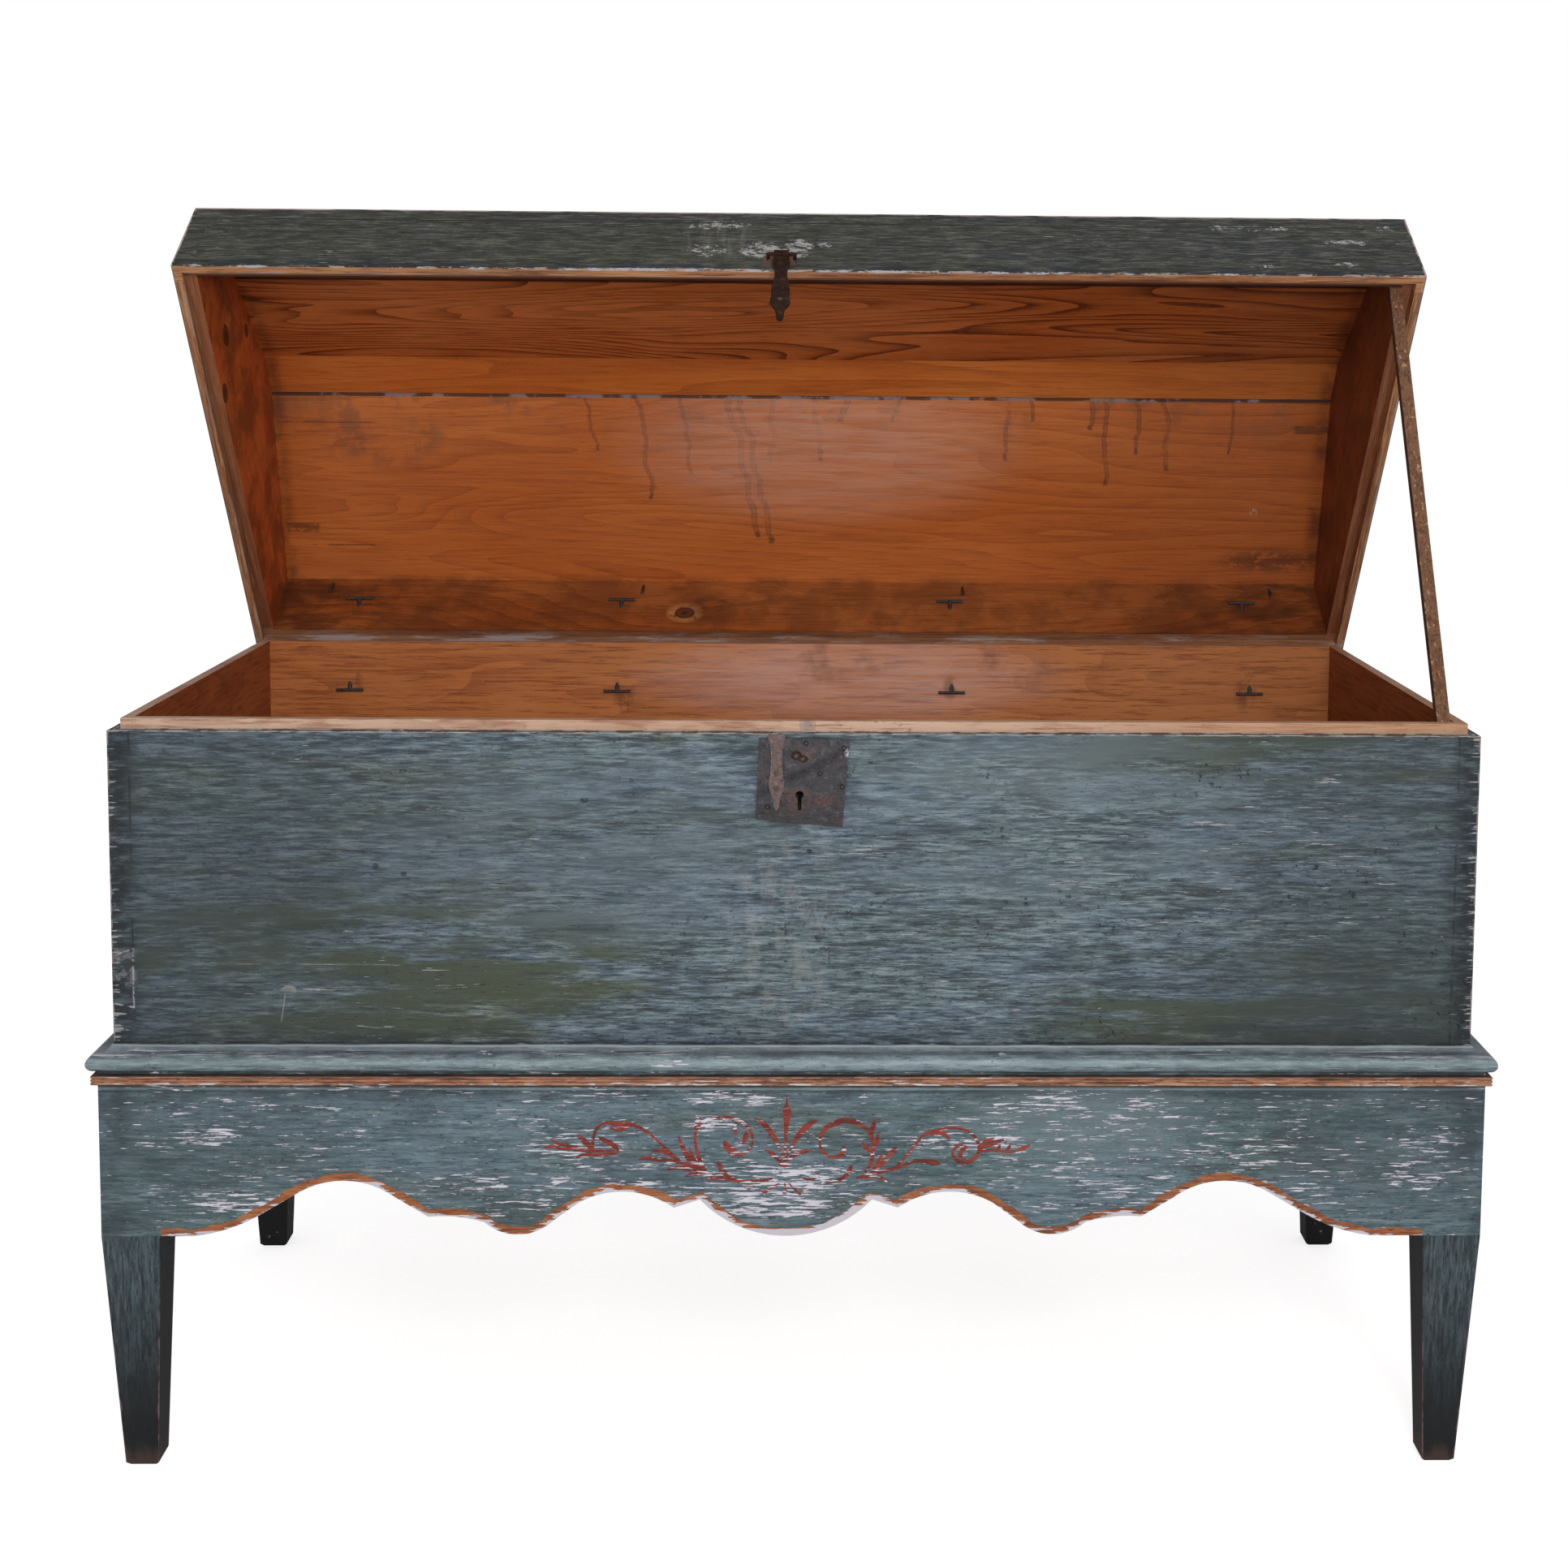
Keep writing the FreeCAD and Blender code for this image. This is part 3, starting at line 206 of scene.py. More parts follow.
def pine(f, tones, grain="x", seed=0, rings=26, wide=7, figure=0.4, fibres=1):
    """Plain-sawn pine: flame lines of the rings, fibres, and slow changes of colour."""
    ground, late, pale = (shade(*tone) for tone in tones)
    rise = f.cloud(lay(0.9, wide, grain), seed, 3, 0.35, 0.3)
    ring = (rise * rings).fraction()
    line = ring ** 4
    slow = f.cloud(lay(2.2, 7, grain), seed + 4, 4)
    fibre = f.cloud(lay(16, 360, grain), seed + 5, 5, 0.7)
    dust = f.cloud(330, seed + 6, 2, 0.6)
    colour = f.blend(slow.over(0.35, 0.65), ground, pale)
    colour.tint(ring * 0.2, late)
    colour.tint((line * slow.over(0.8, 0.3) * figure).smaller(0.9), late)
    colour.tint(fibre.over(0.49, 0.38) * (0.7 * fibres), late)
    colour.tint(fibre.over(0.54, 0.64) * (0.5 * fibres), pale)
    colour.tint(dust.over(0.58, 0.7) * 0.3, pale)
    return colour, fibre * 0.6 - line * 0.3


def brushed(f, tones, grain="x", seed=0, darkness=0.7):
    """Brushed and rubbed paint: broad clouds, dark glaze left in streaks, brush lines."""
    ground, cool, warm, dark, pale = (shade(*tone) for tone in tones)
    broad = f.cloud(lay(2.8, 15, grain), seed, 11, 0.68)
    other = f.cloud(lay(2.6, 13, grain), seed + 3, 11, 0.7)
    streak = f.cloud(lay(15, 150, grain), seed + 1, 8, 0.74)
    hair = f.cloud(lay(40, 400, grain), seed + 2, 4, 0.7)
    fleck = f.cloud(lay(130, 380, grain), seed + 6, 3, 0.6)
    colour = f.blend(broad.over(0.43, 0.57), ground, cool)
    colour.tint(other.over(0.5, 0.6) * 0.8, warm)
    colour.tint(streak.over(0.52, 0.38) * darkness, dark)
    colour.tint(streak.over(0.54, 0.66) * 0.6, pale)
    colour.tint(hair.over(0.49, 0.4) * (0.3 + darkness * 0.57), dark)
    colour.tint(hair.over(0.54, 0.62) * (0.2 + darkness * 0.5), pale)
    colour.tint(fleck.over(0.38, 0.31) * 0.75, dark)
    colour.tint(fleck.over(0.64, 0.72) * 0.35, pale)
    return colour, hair * 0.7 + fleck * 0.4


def flaked(f, cover, seed=0, grain="level", size=1):
    """Long ragged chips along the grain where the paint is off, more where cover is 1."""
    chip = f.cloud(lay(26 * size, 330 * size, grain), seed, 5, 0.6)
    limit = 0.71 - cover * 0.2
    return chip.over(limit, limit + 0.012)


# Paints, each as ground, cool, warm, dark and pale tones, and pines as ground, late and pale
SLATE = ((88, 104, 108), (92, 108, 122), (88, 95, 80), (34, 40, 46), (140, 154, 160))
STAND_SLATE = ((80, 101, 104), (95, 114, 124), (81, 95, 92), (38, 44, 54), (134, 148, 154))
LID_SLATE = ((66, 67, 62), (62, 64, 64), (70, 72, 58), (24, 25, 24), (126, 126, 118))
LEG_SLATE = ((60, 71, 76), (68, 81, 87), (54, 64, 66), (26, 31, 35), (94, 106, 112))
MOULDING = ((106, 124, 130), (118, 134, 142), (94, 108, 112), (48, 56, 62), (160, 172, 176))
BEAD = ((158, 107, 81), (170, 120, 92), (147, 96, 70), (78, 48, 36), (194, 156, 130))
BORDER = ((154, 88, 48), (166, 100, 58), (136, 74, 40), (80, 42, 26), (176, 122, 86))
SCROLL = ((136, 46, 34), (144, 54, 40), (116, 38, 30), (64, 22, 20), (156, 76, 62))
CHIP = shade(206, 202, 212)
HONEY = ((186, 104, 46), (120, 56, 20), (198, 122, 64))
RUSSET = ((150, 78, 38), (96, 42, 18), (168, 94, 50))

# Rubbed places in the front board's paint: across and up
RUBS = (
    (0.519, 0.731),
    (0.418, 0.686),
    (0.271, 0.619),
    (0.088, 0.568),
    (0.407, 0.562),
    (0.552, 0.578),
    (0.07, 0.656),
)

# Dents in the front board: across, up and reach
DENTS = (
    (-0.4014, 0.7356, 0.005),
    (-0.4022, 0.63, 0.004),
    (-0.431, 0.6377, 0.0045),
    (-0.218, 0.707, 0.005),
    (0.236, 0.6, 0.004),
    (0.012, 0.655, 0.0035),
)

# Stains round the clenched hinge pins inside the box: across, up and reach
HINGE_STAINS = (
    (-0.229, 0.722, 0.03),
    (0.19, 0.732, 0.02),
    (0.57, 0.728, 0.03),
    (-0.57, 0.738, 0.02),
)


def near(wire, reach):
    """1 close to a face, falling to 0 at reach from it."""
    return wire.over(reach, reach * 0.25)


def box_finish():
    """The four walls: paint outside, bare pine inside, and a worn lip round the rim."""
    f = Finish("box_paint_over_pine")
    side = abs(f.x)
    from_front = f.y - BOX_FRONT
    from_back = BOX_BACK - f.y
    from_end = HALF_WIDTH - side
    from_corner = from_end.larger(from_front.smaller(from_back))
    front = near(from_front, 0.002)
    inside = side.over(0.6786, 0.6782) * from_front.over(0.0214, 0.0218)
    inside = inside * from_back.over(0.0214, 0.0218)

    colour, fine = brushed(f, SLATE, "level")
    # Olive wash low on the left and right, bluer paint in the middle
    spots = ((-0.44, 0.535), (0.36, 0.1)), ((0.5, 0.49), (0.3, 0.07)), ((0.5, 0.76), (0.3, 0.04))
    wash = largest(f.patch(*spot) for spot in spots)
    mottle = f.cloud((5, 5, 30), 11, 9, 0.66).over(0.4, 0.58)
    colour.tint(wash * front * mottle * 0.95, 64, 71, 54)
    spots = ((-0.2, 0.66), (0.3, 0.12)), ((0.24, 0.69), (0.28, 0.13))
    blue = largest(f.patch(*spot) for spot in spots)
    colour.tint(blue * front * mottle * 0.45, 104, 118, 128)
    dull = f.patch((-0.36, 0.66), (0.42, 0.13), 0.2) * 0.22
    dull = dull.larger(f.patch((0.58, 0.51), (0.22, 0.09), 0.2) * 0.3)
    colour.tint(dull * front, 42, 50, 54)
    # Dark glaze in long smears, along the ends and along the foot of the box
    smear = f.cloud((5, 5, 48), 12, 9, 0.66).over(0.54, 0.66)
    colour.tint(smear * 0.6, 36, 46, 52)
    colour.tint(near(from_end, 0.42) * front * 0.48, 44, 53, 56)
    grime = near(from_corner, 0.04) * 1.2
    grime = grime.larger(near(f.z - COVE_TOP, 0.03) * 0.5).larger(near(f.z - COVE_TOP, 0.005) * 1.3)
    ragged = f.cloud((26, 26, 90), 13, 8, 0.7).over(0.36, 0.56)
    colour.tint(grime * ragged * 0.85, 30, 36, 40)
    # Dovetails showing through the paint at both ends
    joint = f.band(side, JOINT_LINE, 0.0004, 0.0014) * f.cloud((9, 9, 28), 14).over(0.4, 0.54)
    colour.tint(joint * front * 0.75, 24, 30, 34)
    rub = f.cloud(90, 27, 4, 0.6).over(0.42, 0.56)
    tail = f.band(side, JOINT_LINE, 0.0003, 0.0012) * f.band(f.z, 0.5205, 0.0305, 0.001)
    for up, lean in ((0.551, 0.35), (0.49, -0.2)):
        edge = f.band(f.z + (side - JOINT_LINE) * lean, up, 0.0003, 0.0012)
        tail = tail.larger(edge * side.over(0.677, JOINT_LINE))
    tail = tail * rub * f.x.over(0, -0.001)
    haze = f.band(f.z, 0.532, 0.016, 0.006) * side.over(0.672, 0.68) * f.x.over(0, -0.001)
    tail = tail.larger(haze * rub * 0.35)
    colour.tint(tail * front * 0.75, 168, 168, 176)
    # Pale runs down the front below the lock
    run = f.cloud((60, 60, 30), 15, 7, 0.7).over(0.47, 0.6)
    run = run * f.patch((-0.012, 0.57), (0.075, 0.14), 0.3)
    colour.tint(run * front * 0.2, 170, 164, 160)
    # A long scratch, a curved one, and a few dents
    scratch = f.band(f.z + f.x * 0.004, 0.5335, 0.0001, 0.001) * f.band(f.x, -0.51, 0.06, 0.05)
    scratch = scratch * f.cloud((16, 24, 24), 24, 4).over(0.42, 0.66) * 0.75
    hook = f.band(f.x - f.z * 0.15, -0.6, 0.0001, 0.0009) * f.band(f.z, 0.49, 0.012, 0.006) * 0.35
    nick = f.patch((-0.5205, 0.5086), (0.009, 0.006), 0.2)
    nick = nick - f.patch((-0.521, 0.5076), (0.0075, 0.0048), 0.2) * 0.7
    hook = hook.larger(nick * 0.6)
    colour.tint(scratch.larger(hook) * front, 178, 170, 164)
    dent = largest(f.patch((across, up), (size, size * 0.7), 0.2) for across, up, size in DENTS)
    dent = dent * front * f.cloud(200, 28, 3).over(0.4, 0.5)
    colour.tint(dent * 0.65, 26, 30, 36)
    # Dirt kept by the edge of the lock plate
    halo = f.patch((0.004, 0.727), (0.064, 0.062), 0.72)
    halo = halo * f.cloud((40, 40, 60), 25, 6, 0.66).over(0.42, 0.56)
    colour.tint(halo * front * 0.6, 34, 40, 44)
    # Scabs where the paint has wrinkled and lifted
    scab = f.cloud((130, 130, 120), 30, 6, 0.76).over(0.41, 0.35)
    scab = scab * f.cloud((8, 8, 15), 83, 3).over(0.53, 0.62) * (f.x.over(-0.3, 0.2) * 0.7 + 0.3)
    colour.tint(scab * 0.7, 24, 30, 34)
    # Chips, more of them at the right, and worn arrises
    cover = f.patch((0.44, 0.62), (0.32, 0.12), 0.2) * 0.34
    cover = cover + near(from_corner, 0.02) * 0.3
    cover = cover + f.cloud((5, 5, 9), 16).over(0.42, 0.7) * 0.34
    for across, up in RUBS:
        cover = cover.larger(f.patch((across, up), (0.06, 0.008), 0.2) * 0.72)
    cover = cover + near(from_corner, 0.012) * 0.35
    chips = flaked(f, cover, 17, size=1.15)
    colour.tint(chips * 0.75, 158, 158, 160)
    crack = f.cloud((70, 70, 900), 18, 4, 0.7).over(0.36, 0.32)
    crack = crack * f.cloud((7, 7, 16), 19).over(0.5, 0.62)
    colour.tint(crack * 0.8, 20, 26, 30)
    arris = near(from_end, 0.0035) * near(from_front.smaller(from_back), 0.0035)
    arris = arris.larger(near(abs(LEDGE - f.z), 0.003) * near(from_front.smaller(from_end), 0.003))
    worn = (arris * f.cloud(60, 20, 4)).over(0.42, 0.56)
    colour.tint(worn * 0.7, 150, 134, 124)
    paint_height = fine * 0.6 - chips * 0.8 - crack * 0.9 - joint * 0.5 - dent * 2.5 - scab

    wood, wood_height = pine(f, HONEY)
    cross, _ = pine(f, RUSSET, "y", 2)
    wood.tint(side.over(0.6776, 0.6779), cross)
    # Painted highlight: a pale sheen of the lamp across the inside of the back board
    sheen = f.patch((0.06, 0.745), (0.32, 0.07), 0.1)
    glare = f.cloud(lay(9, 160), 29, 6, 0.7).over(0.4, 0.6) * 0.5 + 0.5
    # Painted shade: the bare pine inside darkened towards the right
    wood.tint(f.x.over(0.15, 0.6) * 0.2, 70, 32, 14)
    wood.tint(sheen * glare * 0.62, 214, 170, 158)
    stain = f.cloud(9, 21, 5, 0.6).over(0.58, 0.72) * near(RIM_TOP - f.z, 0.08)
    for across, up, reach in HINGE_STAINS:
        mark = f.patch((across, up), (reach * 0.6, reach), 0.1)
        stain = stain.larger(mark * f.cloud((50, 50, 30), 26, 6, 0.7).over(0.44, 0.56))
    wood.tint(stain * 0.5, 84, 38, 18)
    colour.tint(inside, wood)
    height = paint_height * (1 - inside) + wood_height * inside

    # The lip above the ledge is bare pale wood, and the ledge carries broken paint lines
    lip = f.z.over(LEDGE + 0.0004, LEDGE + 0.0009) * (1 - inside)
    pale, _ = pine(f, ((186, 146, 116), (140, 92, 64), (204, 170, 146)), "x", 6)
    handled = f.cloud((11, 11, 60), 22, 4).over(0.52, 0.64)
    pale.tint(handled * 0.55, 150, 92, 66)
    pale.tint(f.x.over(0.1, 0.5) * 0.5, 176, 120, 74)
    lock = 0.0095
    patch = f.band(f.x, lock, 0.006, 0.001) * f.cloud(200, 84, 4).over(0.36, 0.52)
    pale.tint(patch * 0.7, 206, 190, 182)
    edge = near(abs(f.x - lock) - 0.0075, 0.0012) * near(abs(f.x - lock), 0.012)
    pale.tint(edge.smaller(1) * 0.5, 104, 66, 50)
    colour.tint(lip, pale)
    ledge = near(abs(f.z - LEDGE), 0.0006) * (1 - inside)
    inward = from_front.smaller(from_end)
    lines = f.band(inward, 0.0026, 0.0012, 0.0006)
    lines = lines.larger(f.band(inward, 0.0078, 0.0016, 0.0008))
    grey = f.cloud(60, 23, 5).over(0.44, 0.54)
    ledge_tone = f.blend(grey, shade(112, 92, 84), shade(186, 182, 180))
    ledge_tone.tint(lines * 0.85, 34, 32, 34)
    colour.tint(ledge, ledge_tone)
    return f.done(colour, 0.62 - lip * 0.08 + chips * 0.15, height, 0.0006, 0.38)


def bare_pine_finish():
    """Boards of the bottom: bare pine, dusty in patches, painted on the edges seen outside."""
    f = Finish("bottom_bare_pine")
    colour, height = pine(f, RUSSET, "x", 3)
    dust = f.cloud(7, 1, 5).over(0.5, 0.7)
    colour.tint(dust * 0.3, 140, 104, 78)
    paint, _ = brushed(f, STAND_SLATE, "level", 2, 0.6)
    paint.tint(f.cloud((9, 9, 30), 2, 5).over(0.4, 0.6) * 0.6, 36, 42, 46)
    outside = near(BOX_BACK - f.y, 0.001).larger(near(HALF_WIDTH - abs(f.x), 0.001))
    colour.tint(outside, paint)
    return f.done(colour, 0.72, height, 0.0006, 0.3)


def stand_flakes(f):
    """Chips of the stand's paint: thick under the ornament, and in patches to the right."""
    # Across, up, reach across and up, and how much
    patches = (
        (-0.015, 0.298, 0.12, 0.036, 1.0),
        (-0.02, 0.322, 0.1, 0.012, 1.05),
        (-0.075, 0.399, 0.07, 0.012, 0.9),
        (-0.09, 0.372, 0.05, 0.012, 0.8),
        (0.25, 0.393, 0.08, 0.018, 0.8),
        (0.33, 0.33, 0.2, 0.09, 0.52),
        (0.645, 0.335, 0.06, 0.06, 0.62),
        (-0.6, 0.358, 0.05, 0.014, 0.9),
        (-0.565, 0.285, 0.08, 0.024, 0.85),
        (-0.24, 0.297, 0.24, 0.036, 0.62),
        (0.19, 0.352, 0.1, 0.035, 0.7),
        (-0.22, 0.35, 0.09, 0.025, 0.75),
        (0.5, 0.3, 0.12, 0.03, 0.65),
    )
    front = near(f.y - APRON_FRONT, 0.05)
    cover = f.cloud((5, 5, 12), 31).over(0.35, 0.7) * 0.5
    for across, up, wide, tall, share in patches:
        cover = cover.larger(f.patch((across, up), (wide, tall), 0.2) * share * front)
    drift = f.cloud(lay(12, 50, "level"), 48, 4) - 0.5
    coarse = flaked(f, cover + drift * 0.9 + 0.02, 32, size=1.25)
    fine = flaked(f, cover * 0.5 + drift * 1.4 + 0.28, 82, size=1.6)
    return coarse.larger(fine * 0.85)


def stand_finish():
    """Aprons: slate paint flaked to a lilac-white ground."""
    f = Finish("apron_flaked_paint")
    colour, fine = brushed(f, STAND_SLATE, "level", 5, 0.3)
    outer = near(f.y - APRON_FRONT, 0.001).larger(near(APRON_HALF - abs(f.x), 0.001))
    outer = outer.larger(near(BOX_BACK - f.y, 0.001))
    # Painted shadow, and painted lines, under the bead
    shadow = near(0.4145 - f.z, 0.022) * f.cloud((14, 14, 40), 33, 6, 0.66).over(0.38, 0.56)
    shadow = shadow.larger(f.band(f.z, 0.4118, 0.0006, 0.0008))
    shadow = shadow.larger(f.band(f.z, 0.4062, 0.0008, 0.001) * 0.8)
    colour.tint(shadow * 0.75, 34, 42, 46)
    colour.tint(f.band(f.z, 0.4092, 0.0006, 0.0008) * outer * 0.5, 136, 150, 154)
    stain = f.cloud((7, 7, 10), 47, 8, 0.66).over(0.5, 0.66) * outer
    stain = (stain * 0.4).larger(f.patch((0.62, 0.37), (0.2, 0.12), 0.2) * 0.4)
    stain = stain.larger(f.patch((-0.62, 0.36), (0.2, 0.1), 0.2) * 0.3)
    colour.tint(stain, 52, 62, 70)
    end = near(APRON_HALF - abs(f.x), 0.05) * f.cloud((22, 22, 14), 34, 4).over(0.4, 0.6)
    colour.tint(end * 0.6, 44, 54, 58)
    wash = f.patch((0.3, 0.37), (0.16, 0.06), 0.2) * outer
    colour.tint(wash * 0.4, 122, 138, 146)
    chips = stand_flakes(f)
    colour.tint(chips, CHIP)
    crack = f.cloud((60, 60, 800), 35, 4, 0.7).over(0.37, 0.33)
    crack = crack * f.cloud((6, 6, 14), 36).over(0.46, 0.6)
    colour.tint(crack * 0.7, 28, 34, 38)
    raw, raw_height = pine(f, ((98, 78, 62), (60, 46, 36), (116, 96, 78)), "x", 7)
    colour = f.blend(outer, raw, colour)
    height = (fine * 0.4 - chips * 0.9 - crack) * outer + raw_height * (1 - outer)
    return f.done(colour, 0.6 + chips * 0.2, height, 0.0006, 0.38)


def moulding_finish():
    """Half-round moulding and cove: lighter slate, a painted highlight along the crown, a few
    chips.
    """
    f = Finish("moulding_rubbed_paint")
    colour, fine = brushed(f, MOULDING, "level", 8, 0.4)
    # Painted highlight along the crown of the torus
    crown = f.band(f.z, 0.4395, 0.0015, 0.0035)
    colour.tint(crown * 0.3, 150, 168, 174)
    top = f.z.over(0.4445, 0.4462)
    colour.tint(top * 0.4, 116, 120, 126)
    # Painted shade: a dark line in the groove between the torus and the cove
    groove_shade = f.band(f.z, 0.4464, 0.0002, 0.0004) * f.cloud(11, 49, 4).over(0.4, 0.6)
    colour.tint(groove_shade * 0.6, 36, 42, 46)
    light = f.band(f.z, 0.4508, 0.0006, 0.0006) * 0.5
    colour.tint(light, 150, 162, 166)
    # Painted shade on the underside of the torus
    under = f.z.over(0.4325, 0.4285)
    colour.tint(under * 0.44, 42, 48, 48)
    line = near(abs(f.z - COVE_TOP), 0.0014) * f.cloud((12, 12, 4), 37, 4).over(0.4, 0.6)
    colour.tint(line * 0.8, 30, 36, 40)
    cover = f.patch((-0.13, 0.438), (0.03, 0.008), 0.3) * 0.9
    cover = cover.larger(f.cloud((6, 6, 20), 38).over(0.42, 0.75) * 0.6)
    chips = flaked(f, cover, 39, size=1.6)
    crease = f.band(f.z, 0.4455, 0.001, 0.001) * near(f.y + 0.3506, 0.04)
    crease = crease * f.cloud(5, 50).over(0.44, 0.56)
    chips = chips.larger(crease * f.cloud((16, 300, 300), 97, 5, 0.65).over(0.55, 0.59))
    colour.tint(chips, CHIP)
    return f.done(colour, 0.5 + chips * 0.25, fine * 0.35 - chips * 0.7, 0.0005, 0.45)


def bead_finish():
    """The orange-brown bead under the moulding."""
    f = Finish("bead_orange_paint")
    colour, fine = brushed(f, BEAD, "level", 9, 0.65)
    cover = f.cloud((5, 5, 20), 40).over(0.4, 0.75) * 0.6 + near(abs(f.x), 0.4) * 0.4
    low = near(f.z - BEAD_LOW, 0.004) * f.cloud(26, 88, 4).over(0.42, 0.56)
    chips = flaked(f, cover + low * 0.9, 41, size=1.3)
    colour.tint(chips, 206, 192, 186)
    # Painted shade: dark lines along the bead's lower and upper edges, where it meets the apron and
    # the moulding
    groove_shade = near(f.z - BEAD_LOW, 0.0012).larger(near(BEAD_TOP - f.z, 0.002))
    colour.tint(groove_shade * 0.85, 46, 30, 26)
    return f.done(colour, 0.55, fine * 0.35 - chips * 0.6, 0.0005, 0.4)


def border_finish():
    """The orange-brown border painted along the scalloped edge, flaked to the ground coat."""
    f = Finish("scallop_border_paint")
    colour, fine = brushed(f, BORDER, "level", 10, 0.45)
    middle = f.patch((-0.01, 0.27), (0.15, 0.06), 0.6)
    # How far across the border a place lies, from its outer edge to its inner one
    across = f.node("ShaderNodeAttribute", {"attribute_name": "across"}, {}, "Fac")
    cover = f.cloud(11, 42, 5).over(0.4, 0.62) * 0.5 + middle * 0.8 + 0.25
    cover = cover + across.over(0.75, 0) * 0.75 - across.over(0.7, 1) * 0.5
    chips = flaked(f, cover, 43, size=0.8)
    colour.tint(chips, 200, 192, 200)
    return f.done(colour, 0.62 + chips * 0.15, fine * 0.35 - chips * 0.8, 0.0005, 0.38)


def scrollwork_finish():
    """Red-brown paint of the scrollwork, gone wherever the apron's paint is flaked."""
    f = Finish("scrollwork_red_paint")
    colour, fine = brushed(f, SCROLL, "level", 12, 0.6)
    low = f.patch((-0.01, 0.31), (0.16, 0.05), 0.3) * 0.4
    low = low.larger(f.patch((-0.078, 0.374), (0.055, 0.012), 0.3) * 0.6)
    chips = flaked(f, low + 0.46, 46, size=1.4)
    colour.tint(chips, CHIP)
    return f.done(colour, 0.62, fine * 0.35 - chips * 0.8, 0.0005, 0.38)


def brad_finish():
    """Brads of the mouldings, painted over with the moulding that they hold."""
    f = Finish("brads_painted_over")
    on_moulding = f.z.over(0.425, 0.4262)
    speck = f.cloud(400, 74, 4).over(0.35, 0.65)
    low = f.blend(speck, shade(150, 94, 62), shade(128, 78, 52))
    high = f.blend(speck, shade(112, 128, 134), shade(96, 112, 118))
    return f.done(f.blend(on_moulding, low, high), 0.55, speck, 0.0003, 0.4)


def leg_finish():
    """Tapered legs: dark slate going black at the foot, with worn corners."""
    f = Finish("leg_dark_paint")
    colour, fine = brushed(f, LEG_SLATE, "z", 14, 0.6)
    low = f.z.over(0.23, 0.03)
    colour.tint(low * 0.97, 15, 17, 19)
    share = (f.z / LEG_TOP).smaller(1)
    across = abs(abs(abs(f.x) - (share * 0.003 + 0.68)) - (share * 0.013 + 0.017))
    back = f.y.over(-0.05, 0.05)
    deep = abs(abs(f.y - (back * 0.5375 - 0.3135)) - (share * 0.01 + 0.017))
    # Painted shade on the legs' inner faces
    inner = (0.672 - abs(f.x)).over(0.004, 0.009) * near(across, 0.001)
    colour.tint(inner * 0.85, 14, 17, 20)
    rear = f.y.over(0.1, 0.11)
    colour.tint(rear * 0.6, 16, 18, 22)
    spatter = f.cloud((160, 160, 120), 71, 3).over(0.66, 0.69) * rear
    colour.tint(spatter * 0.5, 170, 172, 178)
    rough_edge = f.cloud((30, 30, 60), 44, 4)
    arris = (across + deep + rough_edge * 0.006 + f.z * 0.008).over(0.0056, 0.0036)
    colour.tint(arris * (1 - rear) * 0.6, 140, 104, 100)
    bare = (f.z + f.cloud((60, 60, 12), 45, 4) * 0.05).over(0.05, 0.028)
    colour.tint(bare * (1 - rear) * 0.45, 92, 68, 58)
    return f.done(colour, 0.6, fine * 0.35 - arris * 0.3, 0.0005, 0.36)


# Scuffed places on the lid's front board: across, up, reach across and up, and how much
SCUFFS = (
    (-0.006, 0.047, 0.026, 0.03, 1.0),
    (-0.048, 0.042, 0.04, 0.024, 0.9),
    (-0.098, 0.094, 0.05, 0.018, 0.8),
    (-0.104, 0.04, 0.042, 0.018, 0.85),
    (0.025, 0.054, 0.016, 0.008, 0.7),
    (0.51, 0.097, 0.09, 0.01, 0.75),
    (0.66, 0.097, 0.045, 0.012, 0.75),
    (0.622, 0.068, 0.04, 0.01, 0.9),
    (0.612, 0.022, 0.02, 0.01, 0.8),
    (0.515, 0.018, 0.04, 0.007, 0.7),
)

# Knots in the left end board: from front to back, up and reach
END_KNOTS = ((0.1419, 0.0675, 0.014), (0.188, 0.1446, 0.009), (0.1918, 0.022, 0.012))


